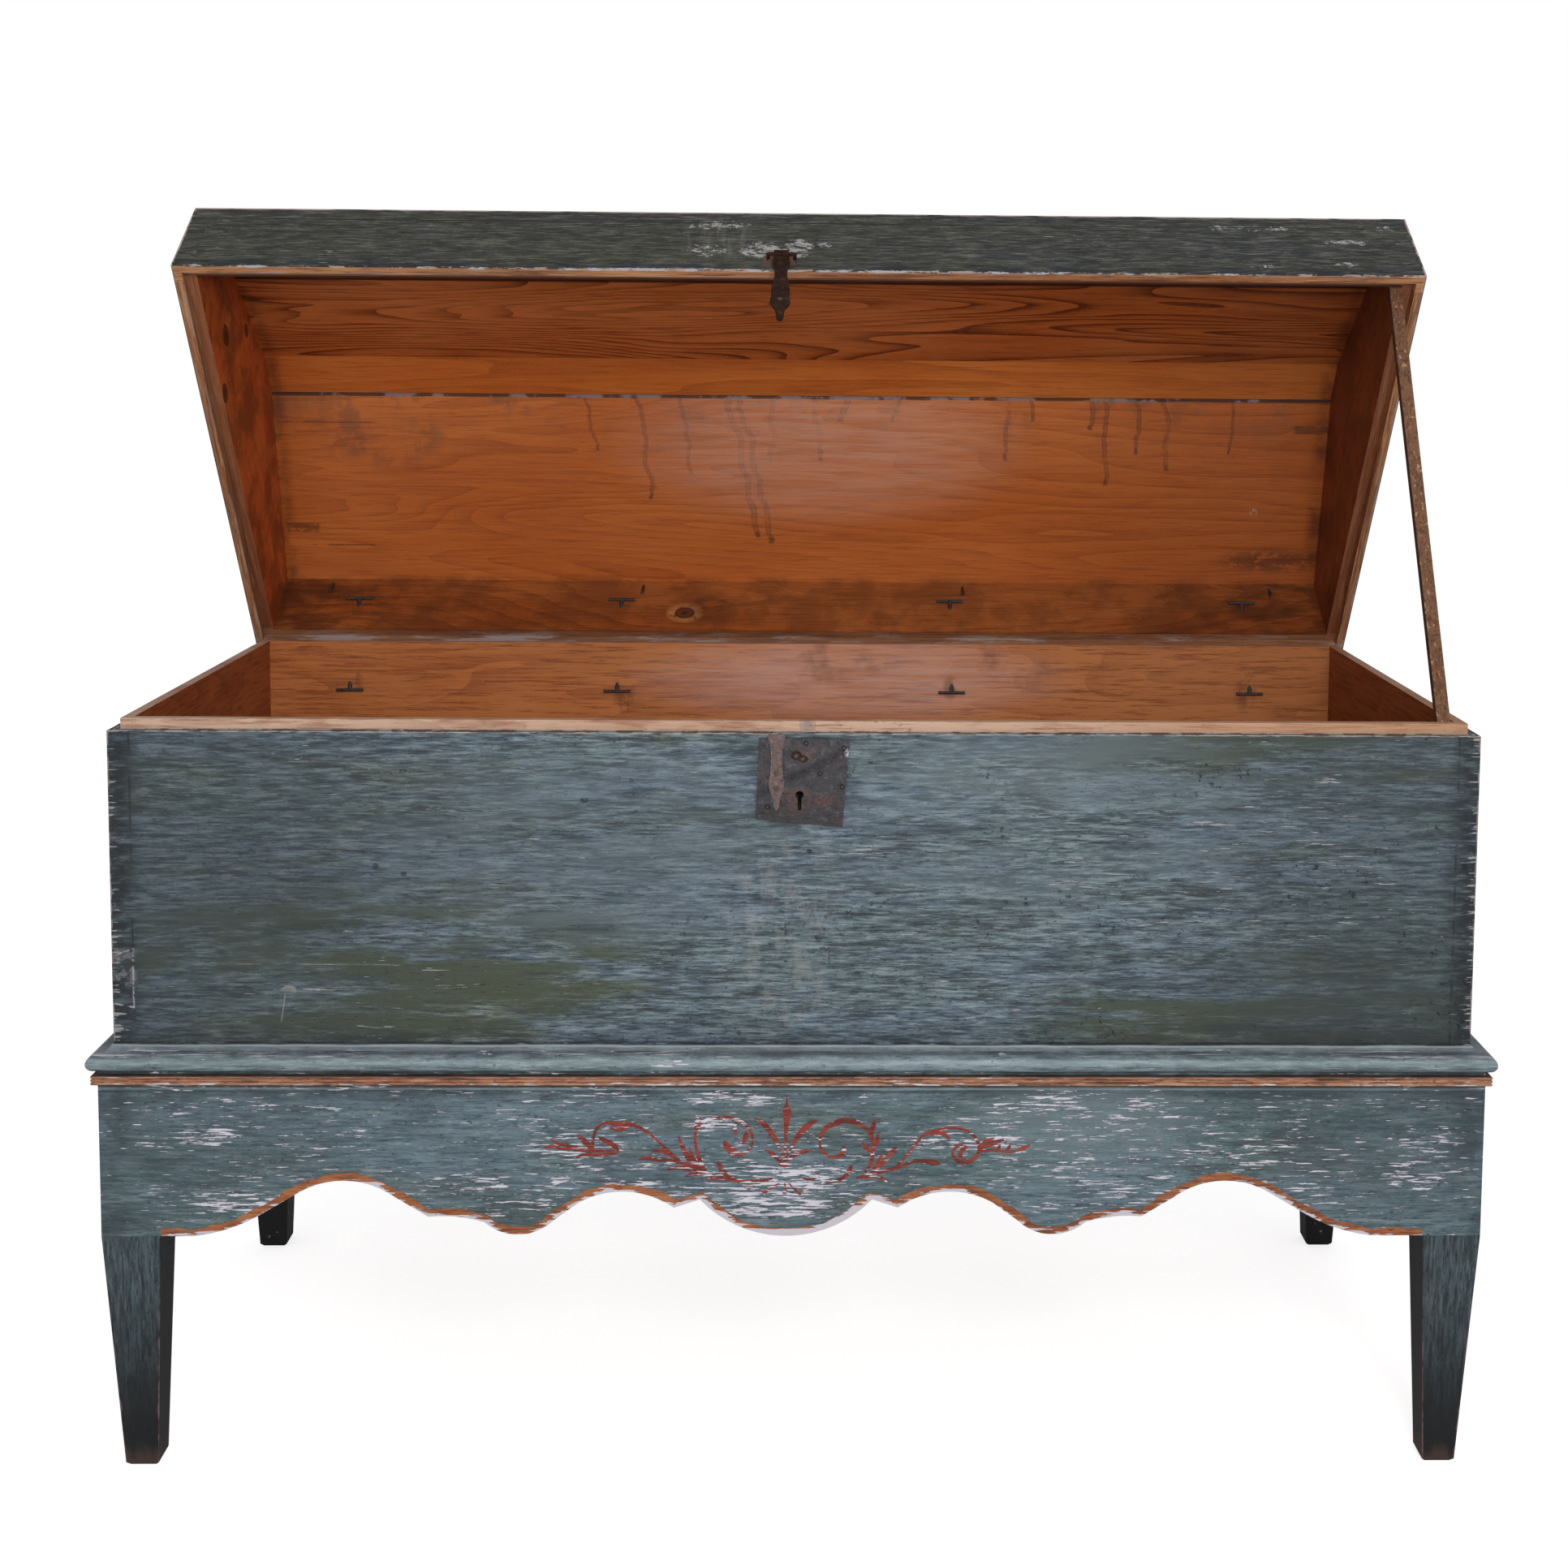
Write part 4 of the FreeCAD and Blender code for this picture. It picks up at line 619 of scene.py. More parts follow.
def lid_finish(name, tones, grain, seed, rings, damp_and_sheen=False, knotty=False, figure=0.4):
    """A board of the lid: paint outside, bare pine inside, a rubbed rim and an orange rebate."""
    f = Finish(name, lid=True)
    side = abs(f.x)
    from_end = HALF_WIDTH - side
    from_wall = f.y.smaller(DEPTH - f.y)
    slope = math.atan2(LID_RIDGE - LID_SIDE, DEPTH / 2 - RIDGE_HALF)
    # How far a place lies under the outer face of the cant over it
    under = math.cos(slope) * LID_SIDE + from_wall * math.sin(slope) - f.z * math.cos(slope)
    under = under.smaller(LID_RIDGE - f.z)
    skin = under.smaller(from_wall).smaller(from_end)
    inside = side.over(0.6786, 0.6782) * from_wall.over(0.0194, 0.0198)
    inside = inside * under.over(0.0183, 0.0187)

    colour, fine = brushed(f, LID_SLATE, "level" if grain == "y" else grain, seed + 20, 0.5)
    front = near(f.y, 0.001)
    # Scuffs in drifts round the staple, pale upright smears, and bare wood at the staple
    drift = largest(
        f.patch((across, up), (wide, tall), 0.3) * share for across, up, wide, tall, share in SCUFFS
    )
    clot = f.cloud((30, 50, 90), 86, 6, 0.7)
    grit = f.cloud((150, 170, 260), 51, 6, 0.8)
    scuff = (drift * 0.27 + clot * 0.5 + grit * 0.9).over(0.93, 0.98) * drift.over(0, 0.1)
    smear = f.cloud((90, 10, 10), 85, 4, 0.6).over(0.46, 0.66)
    smear = smear * f.patch((-0.1, 0.066), (0.055, 0.055), 0.3)
    colour.tint(smear * front * 0.35, 126, 128, 128)
    speck = f.cloud((210, 210, 260), 89, 3, 0.7).over(0.66, 0.72)
    colour.tint(speck * 0.5, 134, 132, 126)
    colour.tint(scuff * front * 0.85, 186, 182, 182)
    bare = f.band(f.x, -0.026, 0.0165, 0.003) * f.band(f.z, 0.021, 0.009, 0.003) * front
    torn = f.cloud(120, 90, 5, 0.7)
    colour.tint(bare * torn.over(0.3, 0.5) * 0.9, 112, 78, 66)
    colour.tint(bare * torn.over(0.46, 0.4) * 0.9, 34, 24, 22)
    navy = f.z.over(0.02, 0.006) * f.cloud((16, 20, 60), 91, 6, 0.7).over(0.44, 0.56) * front
    colour.tint(navy * 0.7, 32, 34, 44)
    seam = f.band(f.z, LID_SIDE - 0.0213, 0.0003, 0.0008) * front
    colour.tint(seam * 0.85, 18, 22, 24)
    cover = f.cloud((5, 5, 9), 53).over(0.5, 0.8) * 0.36
    chips = flaked(f, cover, seed + 54)
    colour.tint(chips, 176, 174, 172)
    corner = near(from_end, 0.004) * near(from_wall.smaller(under), 0.004)
    corner = corner.larger(near(from_wall, 0.004) * near(under, 0.004))
    worn = (corner * f.cloud((26, 26, 60), 55, 5)).over(0.36, 0.5)
    colour.tint(worn * 0.85, 190, 168, 164)

    wood, wood_height = pine(f, tones, grain, seed, rings, figure=figure, fibres=0.6)
    # Painted shade: the bare pine inside darkened towards the right
    wood.tint(f.x.over(0.15, 0.6) * 0.24, 60, 26, 10)
    if damp_and_sheen:
        water_stains_and_sheen(f, wood)
    if knotty and grain == "y":
        knots(f, wood, f.y, END_KNOTS)
    elif knotty:
        knots(f, wood, f.x, ((-0.153, 0.045, 0.013),), 0.85)
        smear = f.patch((-0.115, 0.064), (0.035, 0.02), 0.1)
        smear = smear * f.cloud((40, 40, 60), 60, 6, 0.7).over(0.42, 0.58)
        wood.tint(smear * 0.7, 54, 30, 18)
    # A painted shadow under the front rim, soot at the ends of the rear board, painted shade in the
    # corners
    if grain == "x":
        wood.tint(f.y.over(0.1115, 0.1085) * 0.92, 34, 12, 5)
    if knotty and grain == "x":
        sooty = side.over(0.4, 0.62) * f.cloud((10, 20, 30), 92, 7, 0.7).over(0.4, 0.58)
        wood.tint(sooty * 0.6, 60, 34, 20)
    # Painted shade in the corners, against the end boards and the front and rear boards
    corner_shade_reach = near(0.678 - side, 0.022).larger(near(from_wall - 0.02, 0.012) * 0.7)
    corner_shade = corner_shade_reach * f.cloud(14, 56, 7, 0.66).over(0.4, 0.6)
    wood.tint(corner_shade * 0.6, 70, 34, 18)
    colour.tint(inside, wood)

    # The rim and the rebate that the box's lip enters
    rim = f.z.over(0.0125, 0.0118) * (1 - near(skin, 0.0012))
    rebate, _ = pine(f, ((150, 94, 56), (86, 46, 26), (178, 124, 82)), grain, 8, 40, 60)
    to_right = f.x.over(-0.3, 0.3)
    outer = near(skin, 0.0045) * (to_right * 0.8 + 0.2)
    outer = outer.larger(f.band(skin, 0.0085, 0.0006, 0.0016) * (1 - to_right) * 0.7)
    chalk = f.cloud(lay(16, 260, grain), 57, 6, 0.7).over(0.46, 0.56) * outer
    rebate.tint(chalk * 0.7, 168, 150, 148)
    brown = f.cloud(lay(7, 120, grain), 58, 6, 0.66).over(0.5, 0.6)
    rebate.tint(brown * 0.5, 88, 50, 32)
    tan = f.cloud(lay(12, 240, grain), 93, 5, 0.66).over(0.56, 0.62)
    rebate.tint(tan * 0.55, 194, 146, 98)
    rear = near(DEPTH - f.y, 0.03)
    bloom = f.cloud((7, 60, 60), 59, 8, 0.72).over(0.5, 0.6) * rear
    rebate.tint(rear * 0.5, 118, 82, 64)
    rebate.tint(bloom * 0.65, 176, 164, 162)
    # Painted shade: the hollow of the rebate darkened, less so at the rear
    hollow_shade = f.z.over(0.0108, 0.0113) * skin.over(0.0102, 0.0106)
    rebate.tint(hollow_shade * (0.6 - rear * 0.45), 122, 62, 32)
    colour.tint(rim * (1 - inside), rebate)
    # Ragged white edge along the front rim, widest round the hasp
    edge = near(f.z, 0.006) * near(f.y, 0.004)
    width = f.band(f.x, -0.03, 0.1, 0.24) * 0.08
    white = (edge * 0.3 + width + f.cloud((40, 130, 130), 52, 6, 0.76)).over(0.8, 0.84)
    warm = f.cloud((30, 90, 90), 94, 4).over(0.42, 0.58)
    tone = f.blend(warm, shade(186, 160, 146), shade(190, 190, 198))
    colour.tint(white * edge.over(0.02, 0.1) * 0.9, tone)
    paint_height = fine * 0.4 - chips * 0.8 - seam * 0.8
    height = paint_height * (1 - inside) + wood_height * inside
    return f.done(colour, 0.6 - inside * 0.1, height, 0.0006, 0.36)


# Runs of dark water down the inside of the rear cant: across at the top and at the bottom,
# how far back each ends, and half width
DRIPS = (
    (-0.281, -0.267, 0.389, 0.0018),
    (-0.214, -0.196, 0.451, 0.0026),
    (-0.158, -0.1455, 0.419, 0.0024),
    (-0.097, -0.058, 0.5, 0.004),
    (-0.083, -0.04, 0.507, 0.0036),
    (-0.037, -0.042, 0.401, 0.0034),
    (0.0135, 0.0206, 0.4, 0.003),
    (0.0535, 0.0464, 0.351, 0.004),
    (0.1174, 0.1143, 0.35, 0.0026),
    (0.268, 0.2628, 0.399, 0.0026),
    (0.2975, 0.2975, 0.349, 0.0022),
    (0.3715, 0.3715, 0.3586, 0.003),
    (0.389, 0.391, 0.429, 0.003),
    (0.431, 0.431, 0.389, 0.0024),
    (0.464, 0.4695, 0.41, 0.003),
    (0.5527, 0.5527, 0.388, 0.0018),
)
# How far back the joint with the ridge board lies
RIDGE_JOINT = 0.3154
# Scars inside the rear cant, each a band across and a band back: middle, half and soft edge
SCARS = (
    ((-0.652, 0.018, 0.006), (0.4906, 0.005, 0.002)),
    ((-0.6, 0.035, 0.01), (0.5127, 0.0006, 0.001)),
    ((-0.61, 0.05, 0.02), (0.3554, 0.0004, 0.001)),
    ((0.66, 0.022, 0.008), (0.3566, 0.004, 0.003)),
)


def water_stains_and_sheen(f, wood):
    """Dark runs below the crack along the ridge, a bloom of grey at their heads, and a painted
    highlight of the lamp across the middle.
    """
    wander = (f.cloud((5, 24, 24), 61, 4, 0.6) - 0.5) * 0.03
    slant = f.x + wander
    stains = []
    for top, low, end, half in DRIPS:
        lean = (low - top) / (end - RIDGE_JOINT)
        edge = abs(slant - f.y * lean - (top - RIDGE_JOINT * lean))
        run = edge.over(half + 0.0008, half * 0.6) - edge.over(half * 0.8, half * 0.3) * 0.5
        run = run * f.y.over(end + 0.002, end - 0.002)
        bead = edge.over(half, half * 0.5) * f.band(f.y, end - 0.004, 0.003, 0.002)
        stains.append(run.larger(bead))
    stain = largest(stains) * f.cloud((30, 24, 24), 62, 5, 0.6).over(0.3, 0.52)
    wood.tint(stain * 0.68, 62, 36, 26)
    bloom = f.cloud((16, 11, 11), 63, 8, 0.66).over(0.5, 0.64) * f.y.over(0.4, 0.32)
    left = f.patch((-0.54, 0.36), (0.1, 0.06), up=f.y)
    bloom = bloom.larger(left * f.cloud((26, 22, 22), 64, 7).over(0.48, 0.6))
    wood.tint(bloom * 0.45, 92, 66, 50)
    # Painted highlight: a pale sheen of the lamp across the middle of the rear cant
    flash = f.patch((0.02, 0.38), (0.3, 0.12), 0.05, f.y)
    shine = f.cloud(lay(9, 160), 68, 6, 0.7).over(0.4, 0.6) * 0.5 + 0.5
    wood.tint(flash * shine * 0.55, 206, 156, 132)
    mark = largest(f.band(f.x, *across) * f.band(f.y, *back) for across, back in SCARS)
    mark = mark.larger(f.patch((0.62, 0.527), (0.09, 0.02), 0.2, f.y))
    wood.tint(mark * f.cloud((60, 90, 90), 69, 5, 0.7).over(0.38, 0.5) * 0.6, 60, 34, 20)
    bright = f.patch((0.5904, 0.4627), (0.007, 0.006), 0.2, f.y)
    bright = bright * f.cloud(220, 95, 4, 0.7).over(0.46, 0.56)
    wood.tint(bright * 0.6, 200, 190, 176)
    crack = (f.y + f.cloud((18, 60, 60), 65, 5, 0.7) * 0.004).over(0.3252, 0.3236)
    worn = f.cloud(30, 96, 5).over(0.5, 0.58)
    wood.tint(crack * 0.85, f.blend(worn, shade(34, 24, 20), shade(118, 112, 116)))


def knots(f, wood, along, places, pale=0.15):
    """Knots: a dark ring round a brown heart, grey and split with age."""
    for middle, height, reach in places:
        spot = (((along - middle) / reach) ** 2) + (((f.z - height) / (reach * 0.8)) ** 2)
        spot = spot + (f.cloud(60, 66, 4) - 0.5) * 0.8
        splash = spot.over(4.2, 1.8) * f.cloud(90, 67, 4).over(0.36, 0.5)
        wood.tint(splash * pale, 190, 128, 76)
        wood.tint(spot.over(1.15, 0.9) * 0.9, 40, 20, 14)
        wood.tint(spot.over(0.75, 0.45) * 0.8, 112, 60, 34)
        wood.tint(spot.over(0.16, 0.1) * 0.8, 36, 22, 18)


# Flattened studs of the lock plate: across and up
PLATE_STUDS = (
    (0.008, 0.7675),
    (0.0465, 0.7625),
    (0.0222, 0.736),
    (0.045, 0.7225),
    (-0.031, 0.7015),
)


def iron_finish(name, tones, seed=0, dents=False, shine=0.5):
    """Hand-forged iron: dark scale, rust in patches, light on the rubbed high spots."""
    f = Finish(name)
    ground, rust, light = (shade(*tone) for tone in tones)
    hammer = f.cloud(70, seed + 70, 4, 0.6)
    pit = f.cloud(420, seed + 71, 4, 0.65)
    scale = f.cloud(150, seed + 73, 5, 0.66)
    colour = f.blend(hammer.over(0.52, 0.66) * 0.55, ground, rust)
    colour.tint(scale.over(0.54, 0.66) * 0.5, light)
    colour.tint(scale.over(0.46, 0.36) * 0.6, 26, 23, 24)
    colour.tint(pit.over(0.56, 0.7) * 0.4, light)
    colour.tint(pit.over(0.44, 0.3) * 0.75, 20, 17, 18)
    height = hammer * 0.9 + scale * 0.5 + pit * 0.3
    if dents:
        ring = (((f.x - 0.0016) ** 2) + ((f.z - 0.708) ** 2)) ** 0.5
        halo = ring.over(0.018, 0.005) * f.cloud(160, 72, 4).over(0.4, 0.55)
        colour.tint(halo * 0.65, 112, 66, 50)
        colour.tint(f.z.over(0.716, 0.7) * 0.3, 30, 24, 26)
        sweep = f.patch((0.004, 0.754), (0.016, 0.008))
        sweep = sweep.larger(f.patch((0.026, 0.708), (0.011, 0.009)))
        colour.tint(sweep * pit.over(0.4, 0.56) * 0.4, 120, 72, 52)
        blow = f.patch((-0.002, 0.7545), (0.006, 0.005), 0.2)
        blow = blow.larger(f.patch((0.005, 0.751), (0.005, 0.004), 0.2))
        crease = f.band(f.z - f.x * 0.5, 0.741, 0.0006, 0.012)
        height = height - blow * 3 + crease * 1.6
        studs = []
        for across, up in PLATE_STUDS:
            spot = (((f.x - across) ** 2) + ((f.z - up) ** 2)) ** 0.5
            studs.append(spot.over(0.0024, 0.001))
            colour.tint(f.band(spot, 0.0026, 0.0003, 0.0006) * 0.6, 26, 20, 20)
        stud = largest(studs)
        colour.tint(stud * 0.4, 110, 84, 76)
        height = height + stud * 1.5
        nick = f.patch((0.05, 0.757), (0.0035, 0.006), 0.2) * pit.over(0.4, 0.5)
        colour.tint(nick * 0.8, 196, 198, 204)
    return f.done(colour, 0.42 + pit * 0.25, height, 0.0022, shine, 0.3 * shine)


def stick_finish():
    """The prop stick: raw wood gone brown, speckled pale by handling."""
    f = Finish("prop_stick_bare_wood")
    colour, height = pine(f, ((108, 70, 48), (68, 40, 27), (130, 92, 66)), "z", 9, 12, 60)
    speck = f.cloud((200, 200, 60), 81, 4, 0.7)
    colour.tint(speck.over(0.58, 0.66) * 0.8, 190, 154, 112)
    colour.tint(speck.over(0.42, 0.32) * 0.6, 52, 32, 24)
    # Painted shade: a dark line down the stick's side
    shadow = near(abs(f.x) - 0.6635, 0.0008)
    colour.tint(shadow * 0.7, 40, 26, 20)
    return f.done(colour, 0.72, height + speck * 0.5, 0.0006, 0.3)


# Steps of a stroke's curve from one of its points to the next
RUN_STEPS = 5
# Brush strokes of the scrollwork on the front apron: the spear and its leaves, the left half,
# the right half and the trefoil. Each point is across, up and half width in millimetres.
STROKES = (
    ((-9.6, 402.2, 0.7), (-9.6, 395, 1.4), (-9.9, 390.6, 3.1), (-9.5, 386.3, 5.1),
     (-9.5, 380.5, 4.4), (-10.2, 369.6, 2.7), (-10.8, 355.1, 1.7), (-11.4, 342.4, 1.7),
     (-11.7, 329, 2.4)),
    ((-12.5, 335.5, 1), (-17.4, 347.1, 1.7), (-23.8, 359.5, 3.1), (-30.9, 369.3, 3.4),
     (-36.9, 375, 2.4), (-42.2, 378.3, 0.7)),
    ((-10, 335.5, 1), (-4.4, 347.9, 1.7), (1.9, 359.1, 3.1), (9.2, 367.8, 3.8), (16.2, 373.3, 2.7),
     (21.8, 375.4, 0.7)),
    ((-13.1, 329.7, 1), (-18.4, 334.8, 2.7), (-24.4, 340.6, 2.7), (-32.2, 344.6, 0.7)),
    ((-9.6, 331.1, 1), (-3.3, 338.4, 2.7), (5.8, 342.4, 2.7), (17.1, 343.9, 0.7)),
    ((-18.1, 329, 1), (-11.7, 328.6, 2.7), (-5, 329, 1)),
    ((-102.9, 365.2, 1.4), (-98.3, 372.5, 2), (-89.2, 377.6, 2), (-78, 379.7, 2),
     (-67.5, 378.3, 2.4), (-56.9, 374.7, 2.4), (-49.9, 368.9, 1.7), (-45.3, 360.5, 1.7),
     (-45.2, 351.5, 1.4), (-49.1, 344.2, 1.7), (-56.8, 340.2, 2.4), (-64.6, 342.4, 4.8),
     (-70.9, 348.6, 4.1), (-73.7, 354.4, 1.7)),
    ((-51.3, 365.3, 1.4), (-51.6, 359.5, 3.1), (-53.3, 353.7, 2.7), (-55.4, 350.4, 0.7)),
    ((-62.5, 371.1, 1), (-62.9, 365.3, 2.4), (-61.8, 360.2, 0.7)),
    ((-102.6, 381.9, 0.7), (-101.5, 376.1, 2.7), (-102.9, 367.8, 1.7), (-103.9, 355.8, 1.7),
     (-102.2, 344.2, 2), (-98.6, 332.6, 2.4), (-93, 321.7, 2), (-87.7, 317, 1)),
    ((-121.1, 359.4, 0.7), (-117.3, 348.6, 2.4), (-111.7, 337.7, 3.1), (-104.6, 327.5, 2),
     (-98.3, 321.7, 1)),
    ((-109.9, 347.1, 0.7), (-107.1, 338.4, 2), (-101.8, 329, 2.4), (-96.2, 322.4, 1)),
    ((-162.2, 334.4, 0.7), (-151.7, 335.9, 2.7), (-139.8, 334.1, 2.4), (-127.1, 333.3, 1.7),
     (-113, 329, 2.4), (-96.2, 322.4, 2)),
    ((-148.2, 342.8, 0.7), (-138.3, 343.8, 2.7), (-129.9, 339.1, 2), (-119.4, 333.3, 1.7)),
    ((-132.7, 323.5, 0.7), (-122.9, 325.7, 2.4), (-109.5, 324.2, 2.4), (-95.5, 321, 1.4)),
    ((-114.4, 316.2, 0.7), (-105.3, 319.2, 2.7), (-93, 318.8, 2), (-82.4, 315.2, 1)),
    ((-122.2, 334.1, 1.4), (-131.3, 343.5, 1.7), (-141.9, 353.6, 1.4), (-152.4, 363.1, 1.7),
     (-163.2, 369.6, 2), (-173.4, 372.1, 3.4), (-183.2, 371.7, 3.1), (-193.7, 373.5, 2),
     (-200.7, 371, 1.4), (-205.7, 365.6, 1.7), (-208.5, 356.5, 1.7), (-209.6, 344.9, 2)),
    ((-168.5, 371, 1), (-176.9, 367.4, 2.4), (-184.6, 365.9, 1.7), (-191.6, 368.1, 0.7)),
    ((-225.3, 360.9, 0.7), (-219.7, 355.8, 3.1), (-213.1, 349.3, 3.1), (-207.8, 344.2, 1.4)),
    ((-202.9, 358, 0.7), (-195.9, 354.3, 3.1), (-188.2, 350, 3.1), (-183.3, 344.2, 2),
     (-184.7, 340.6, 0.7)),
    ((-259.7, 347.1, 0.7), (-250.6, 348.2, 2.4), (-239.4, 345.6, 1.4), (-228.8, 346.7, 2.7),
     (-214.8, 344.2, 2), (-198, 343.5, 1.7), (-186.1, 343.5, 1)),
    ((-251.9, 355.8, 0.7), (-244.9, 351.4, 1.7), (-234.4, 349.3, 1.7), (-226, 347.8, 0.7)),
    ((-228.2, 336.9, 0.7), (-215.6, 339.8, 2), (-200.8, 339.5, 2), (-185.4, 341.3, 1.4)),
    ((-80.4, 332.6, 0.7), (-77.9, 326.1, 3.1), (-72.6, 318.8, 2.4), (-63.1, 313.7, 2),
     (-51.8, 310.4, 3.1), (-38.4, 311.1, 2.4), (-23.6, 314.4, 1)),
    ((-93, 312.6, 0.7), (-83.5, 315.2, 2.7), (-71.5, 313.7, 2), (-57.8, 310.4, 1)),
    ((81.3, 378, 0.7), (79.9, 371.1, 2.7), (77.2, 362.4, 3.1), (78.7, 351.5, 2), (79.1, 340.6, 2.4),
     (77.1, 329.7, 2.4), (71.5, 321, 1.4)),
    ((78.2, 361.7, 1.4), (71.9, 367.5, 2), (61.9, 373.3, 3.1), (50, 376.2, 3.4), (39.4, 372.5, 3.4),
     (31, 368.2, 2.7), (25.4, 359.5, 2.4), (24.8, 349.3, 1.4), (28, 342.1, 1.7), (34.4, 337.7, 1.7),
     (41.8, 337.3, 2), (47.4, 340.2, 3.1), (49.8, 345.7, 2.4), (47.3, 349, 0.7)),
    ((85.6, 363.9, 0.7), (83.6, 355.9, 2.7), (80.5, 345.7, 2), (77.8, 335.5, 1)),
    ((68.1, 353, 0.7), (71.7, 347.9, 2.7), (77, 342.1, 1.7)),
    ((104.1, 348.2, 0.7), (99.6, 343.5, 2.4), (93.3, 334.8, 2.7), (86.3, 326.8, 2), (79.3, 321, 1)),
    ((89, 340.6, 0.7), (86.9, 334.8, 2.4), (83.5, 327.5, 2.4), (77.9, 321.7, 1)),
    ((148.4, 330.4, 1.7), (142, 331.2, 3.4), (130.7, 333.3, 2.4), (120.1, 331.9, 1.7),
     (109.6, 327.5, 2), (97.6, 323.9, 2), (84.9, 321, 2.4), (71.6, 317.3, 2), (62.1, 314.4, 1)),
    ((94.6, 310, 0.7), (89.2, 314.4, 2), (80, 316.6, 2.4), (70.2, 315.1, 1.4)),
    ((99, 322.4, 1.4), (110.2, 334.1, 1.4), (117.9, 343.5, 1.7), (125.6, 353.7, 1.7),
     (134.6, 362.4, 2), (145.2, 366.1, 1.4), (157.1, 368.2, 1.4), (169.1, 367.5, 1.4),
     (179.8, 362.8, 1.7), (186.6, 355.2, 2), (189.2, 346.1, 2), (185.8, 337.7, 2),
     (178.8, 332.2, 2.4), (170.3, 331.5, 2.4), (163.9, 335.9, 2), (161.7, 342.8, 1.7),
     (165.2, 347.9, 1.7), (172.2, 350.4, 1)),
    ((131.1, 360.2, 1), (139.6, 363.1, 2.4), (150.2, 362.8, 3.1), (158, 357.3, 1.4)),
    ((178.6, 349, 1), (172.9, 345.7, 2.4), (169.5, 340.6, 2.7), (172.4, 334.8, 1.7)),
    ((188.5, 344.3, 1.7), (195.5, 349.7, 3.1), (204.7, 352.3, 3.1), (214.5, 355.9, 1)),
    ((189.9, 347.9, 1), (196.1, 354.4, 2), (204.6, 357.4, 0.7)),
    ((189.2, 342.8, 1.4), (201.2, 344.3, 1.7), (212.6, 343.2, 1.4), (224.6, 342.8, 1.4),
     (230.2, 345, 1)),
    ((205.5, 342.1, 0.7), (209, 346.4, 2), (211, 350.8, 0.7)),
    ((216.1, 342.1, 0.7), (219.2, 346.4, 2), (222.3, 351.5, 0.7)),
    ((228.1, 343.5, 1), (234.4, 346.4, 2.7), (241.5, 349.4, 1)),
    ((57, 328.2, 1.4), (55.3, 322.4, 3.1), (50.4, 316.2, 2.4), (42.7, 312.2, 2), (33.5, 310, 2),
     (26.5, 309.3, 1)),
    ((22.5, 319.5, 1), (20.1, 315.1, 2), (13, 313, 1.7), (6.7, 315.1, 0.7)),
    ((-33.4, 297.7, 2), (-28.9, 302.4, 2.4), (-22.9, 306, 1.4), (-16.6, 309.3, 0.7)),
    ((-11.6, 309.3, 0.7), (-10.9, 304.2, 1.4), (-11.6, 297.7, 2.4)),
    ((-7.4, 309.3, 0.7), (-1.7, 303.5, 1.4), (5.4, 297.3, 1.7)),
)


def between(before, start, end, after, share):
    """Where a Catmull-Rom curve is at this share of the way from start to end."""
    bend = 2 * before - 5 * start + 4 * end - after
    twist = 3 * start - before - 3 * end + after
    straight = 2 * start + (end - before) * share
    return 0.5 * (straight + bend * share * share + twist * share**3)


def smooth_run(points):
    """A smooth run through brush points, each across, up and half width."""
    run = []
    ends = [points[0], *points, points[-1]]
    for four in zip(ends, ends[1:], ends[2:], ends[3:]):
        for step in range(RUN_STEPS):
            run.append(tuple(between(*part, step / RUN_STEPS) for part in zip(*four)))
    return [*run, points[-1]]


def stitch(mesh, rows):
    """Faces from each pair of vertices to the next pair."""
    for (low, high), (next_low, next_high) in zip(rows, rows[1:]):
        mesh.faces.new((low, next_low, next_high, high))


def brush_stroke(mesh, points, lift):
    """A flat tapering stroke on the apron's face."""
    run = smooth_run(points)
    rows = []
    for number, (across, up, half) in enumerate(run):
        before = run[max(number - 1, 0)]
        after = run[min(number + 1, len(run) - 1)]
        way = Vector((after[0] - before[0], after[1] - before[1])).normalized()
        middle = Vector((across, up))
        sideways = Vector((-way.y, way.x)) * max(half * 0.86, 0.25)
        spots = middle - sideways, middle + sideways
        face = APRON_FRONT - lift
        rows.append([mesh.verts.new((at.x / 1000, face, at.y / 1000)) for at in spots])
    stitch(mesh, rows)


def make_piece(name, mesh, material, body="chest"):
    """A painted piece that faces the front, lies where its mesh says and rides on a body."""
    for face in mesh.faces:
        if face.normal.y > 0:
            face.normal_flip()
    data = bpy.data.meshes.new(name)
    mesh.to_mesh(data)
    mesh.free()
    data.materials.append(material)
    piece = bpy.data.objects.new(name, data)
    bpy.context.collection.objects.link(piece)
    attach(piece, body)


def scrollwork(material):
    """The painted spear, leaves, scrolls and trailing vines on the front apron."""
    mesh = bmesh.new()
    for number, stroke in enumerate(STROKES):
        brush_stroke(mesh, stroke, 0.0002 + number * 0.000002)
    make_piece("acanthus_scrollwork", mesh, material)


def scallop_edge():
    """The apron's lower edge from left to right, read from the CAD apron's front face."""
    apron = nodes["front_apron"].data
    used = {}
    for face in apron.polygons:
        if face.normal.y < -0.9:
            for pair in face.edge_keys:
                key = tuple(sorted(tuple(round(v, 6) for v in apron.vertices[i].co) for i in pair))
                used[key] = used.get(key, 0) + 1
    rim = [key for key, times in used.items() if times == 1]
    spots = {}
    for start, end in rim:
        for spot in (start, end):
            if spot[1] < APRON_FRONT + 0.0005 and spot[2] < 0.33 and abs(spot[0]) < 0.66:
                spots[spot[0]] = min(spot[2], spots.get(spot[0], 1))
    return sorted(spots.items())


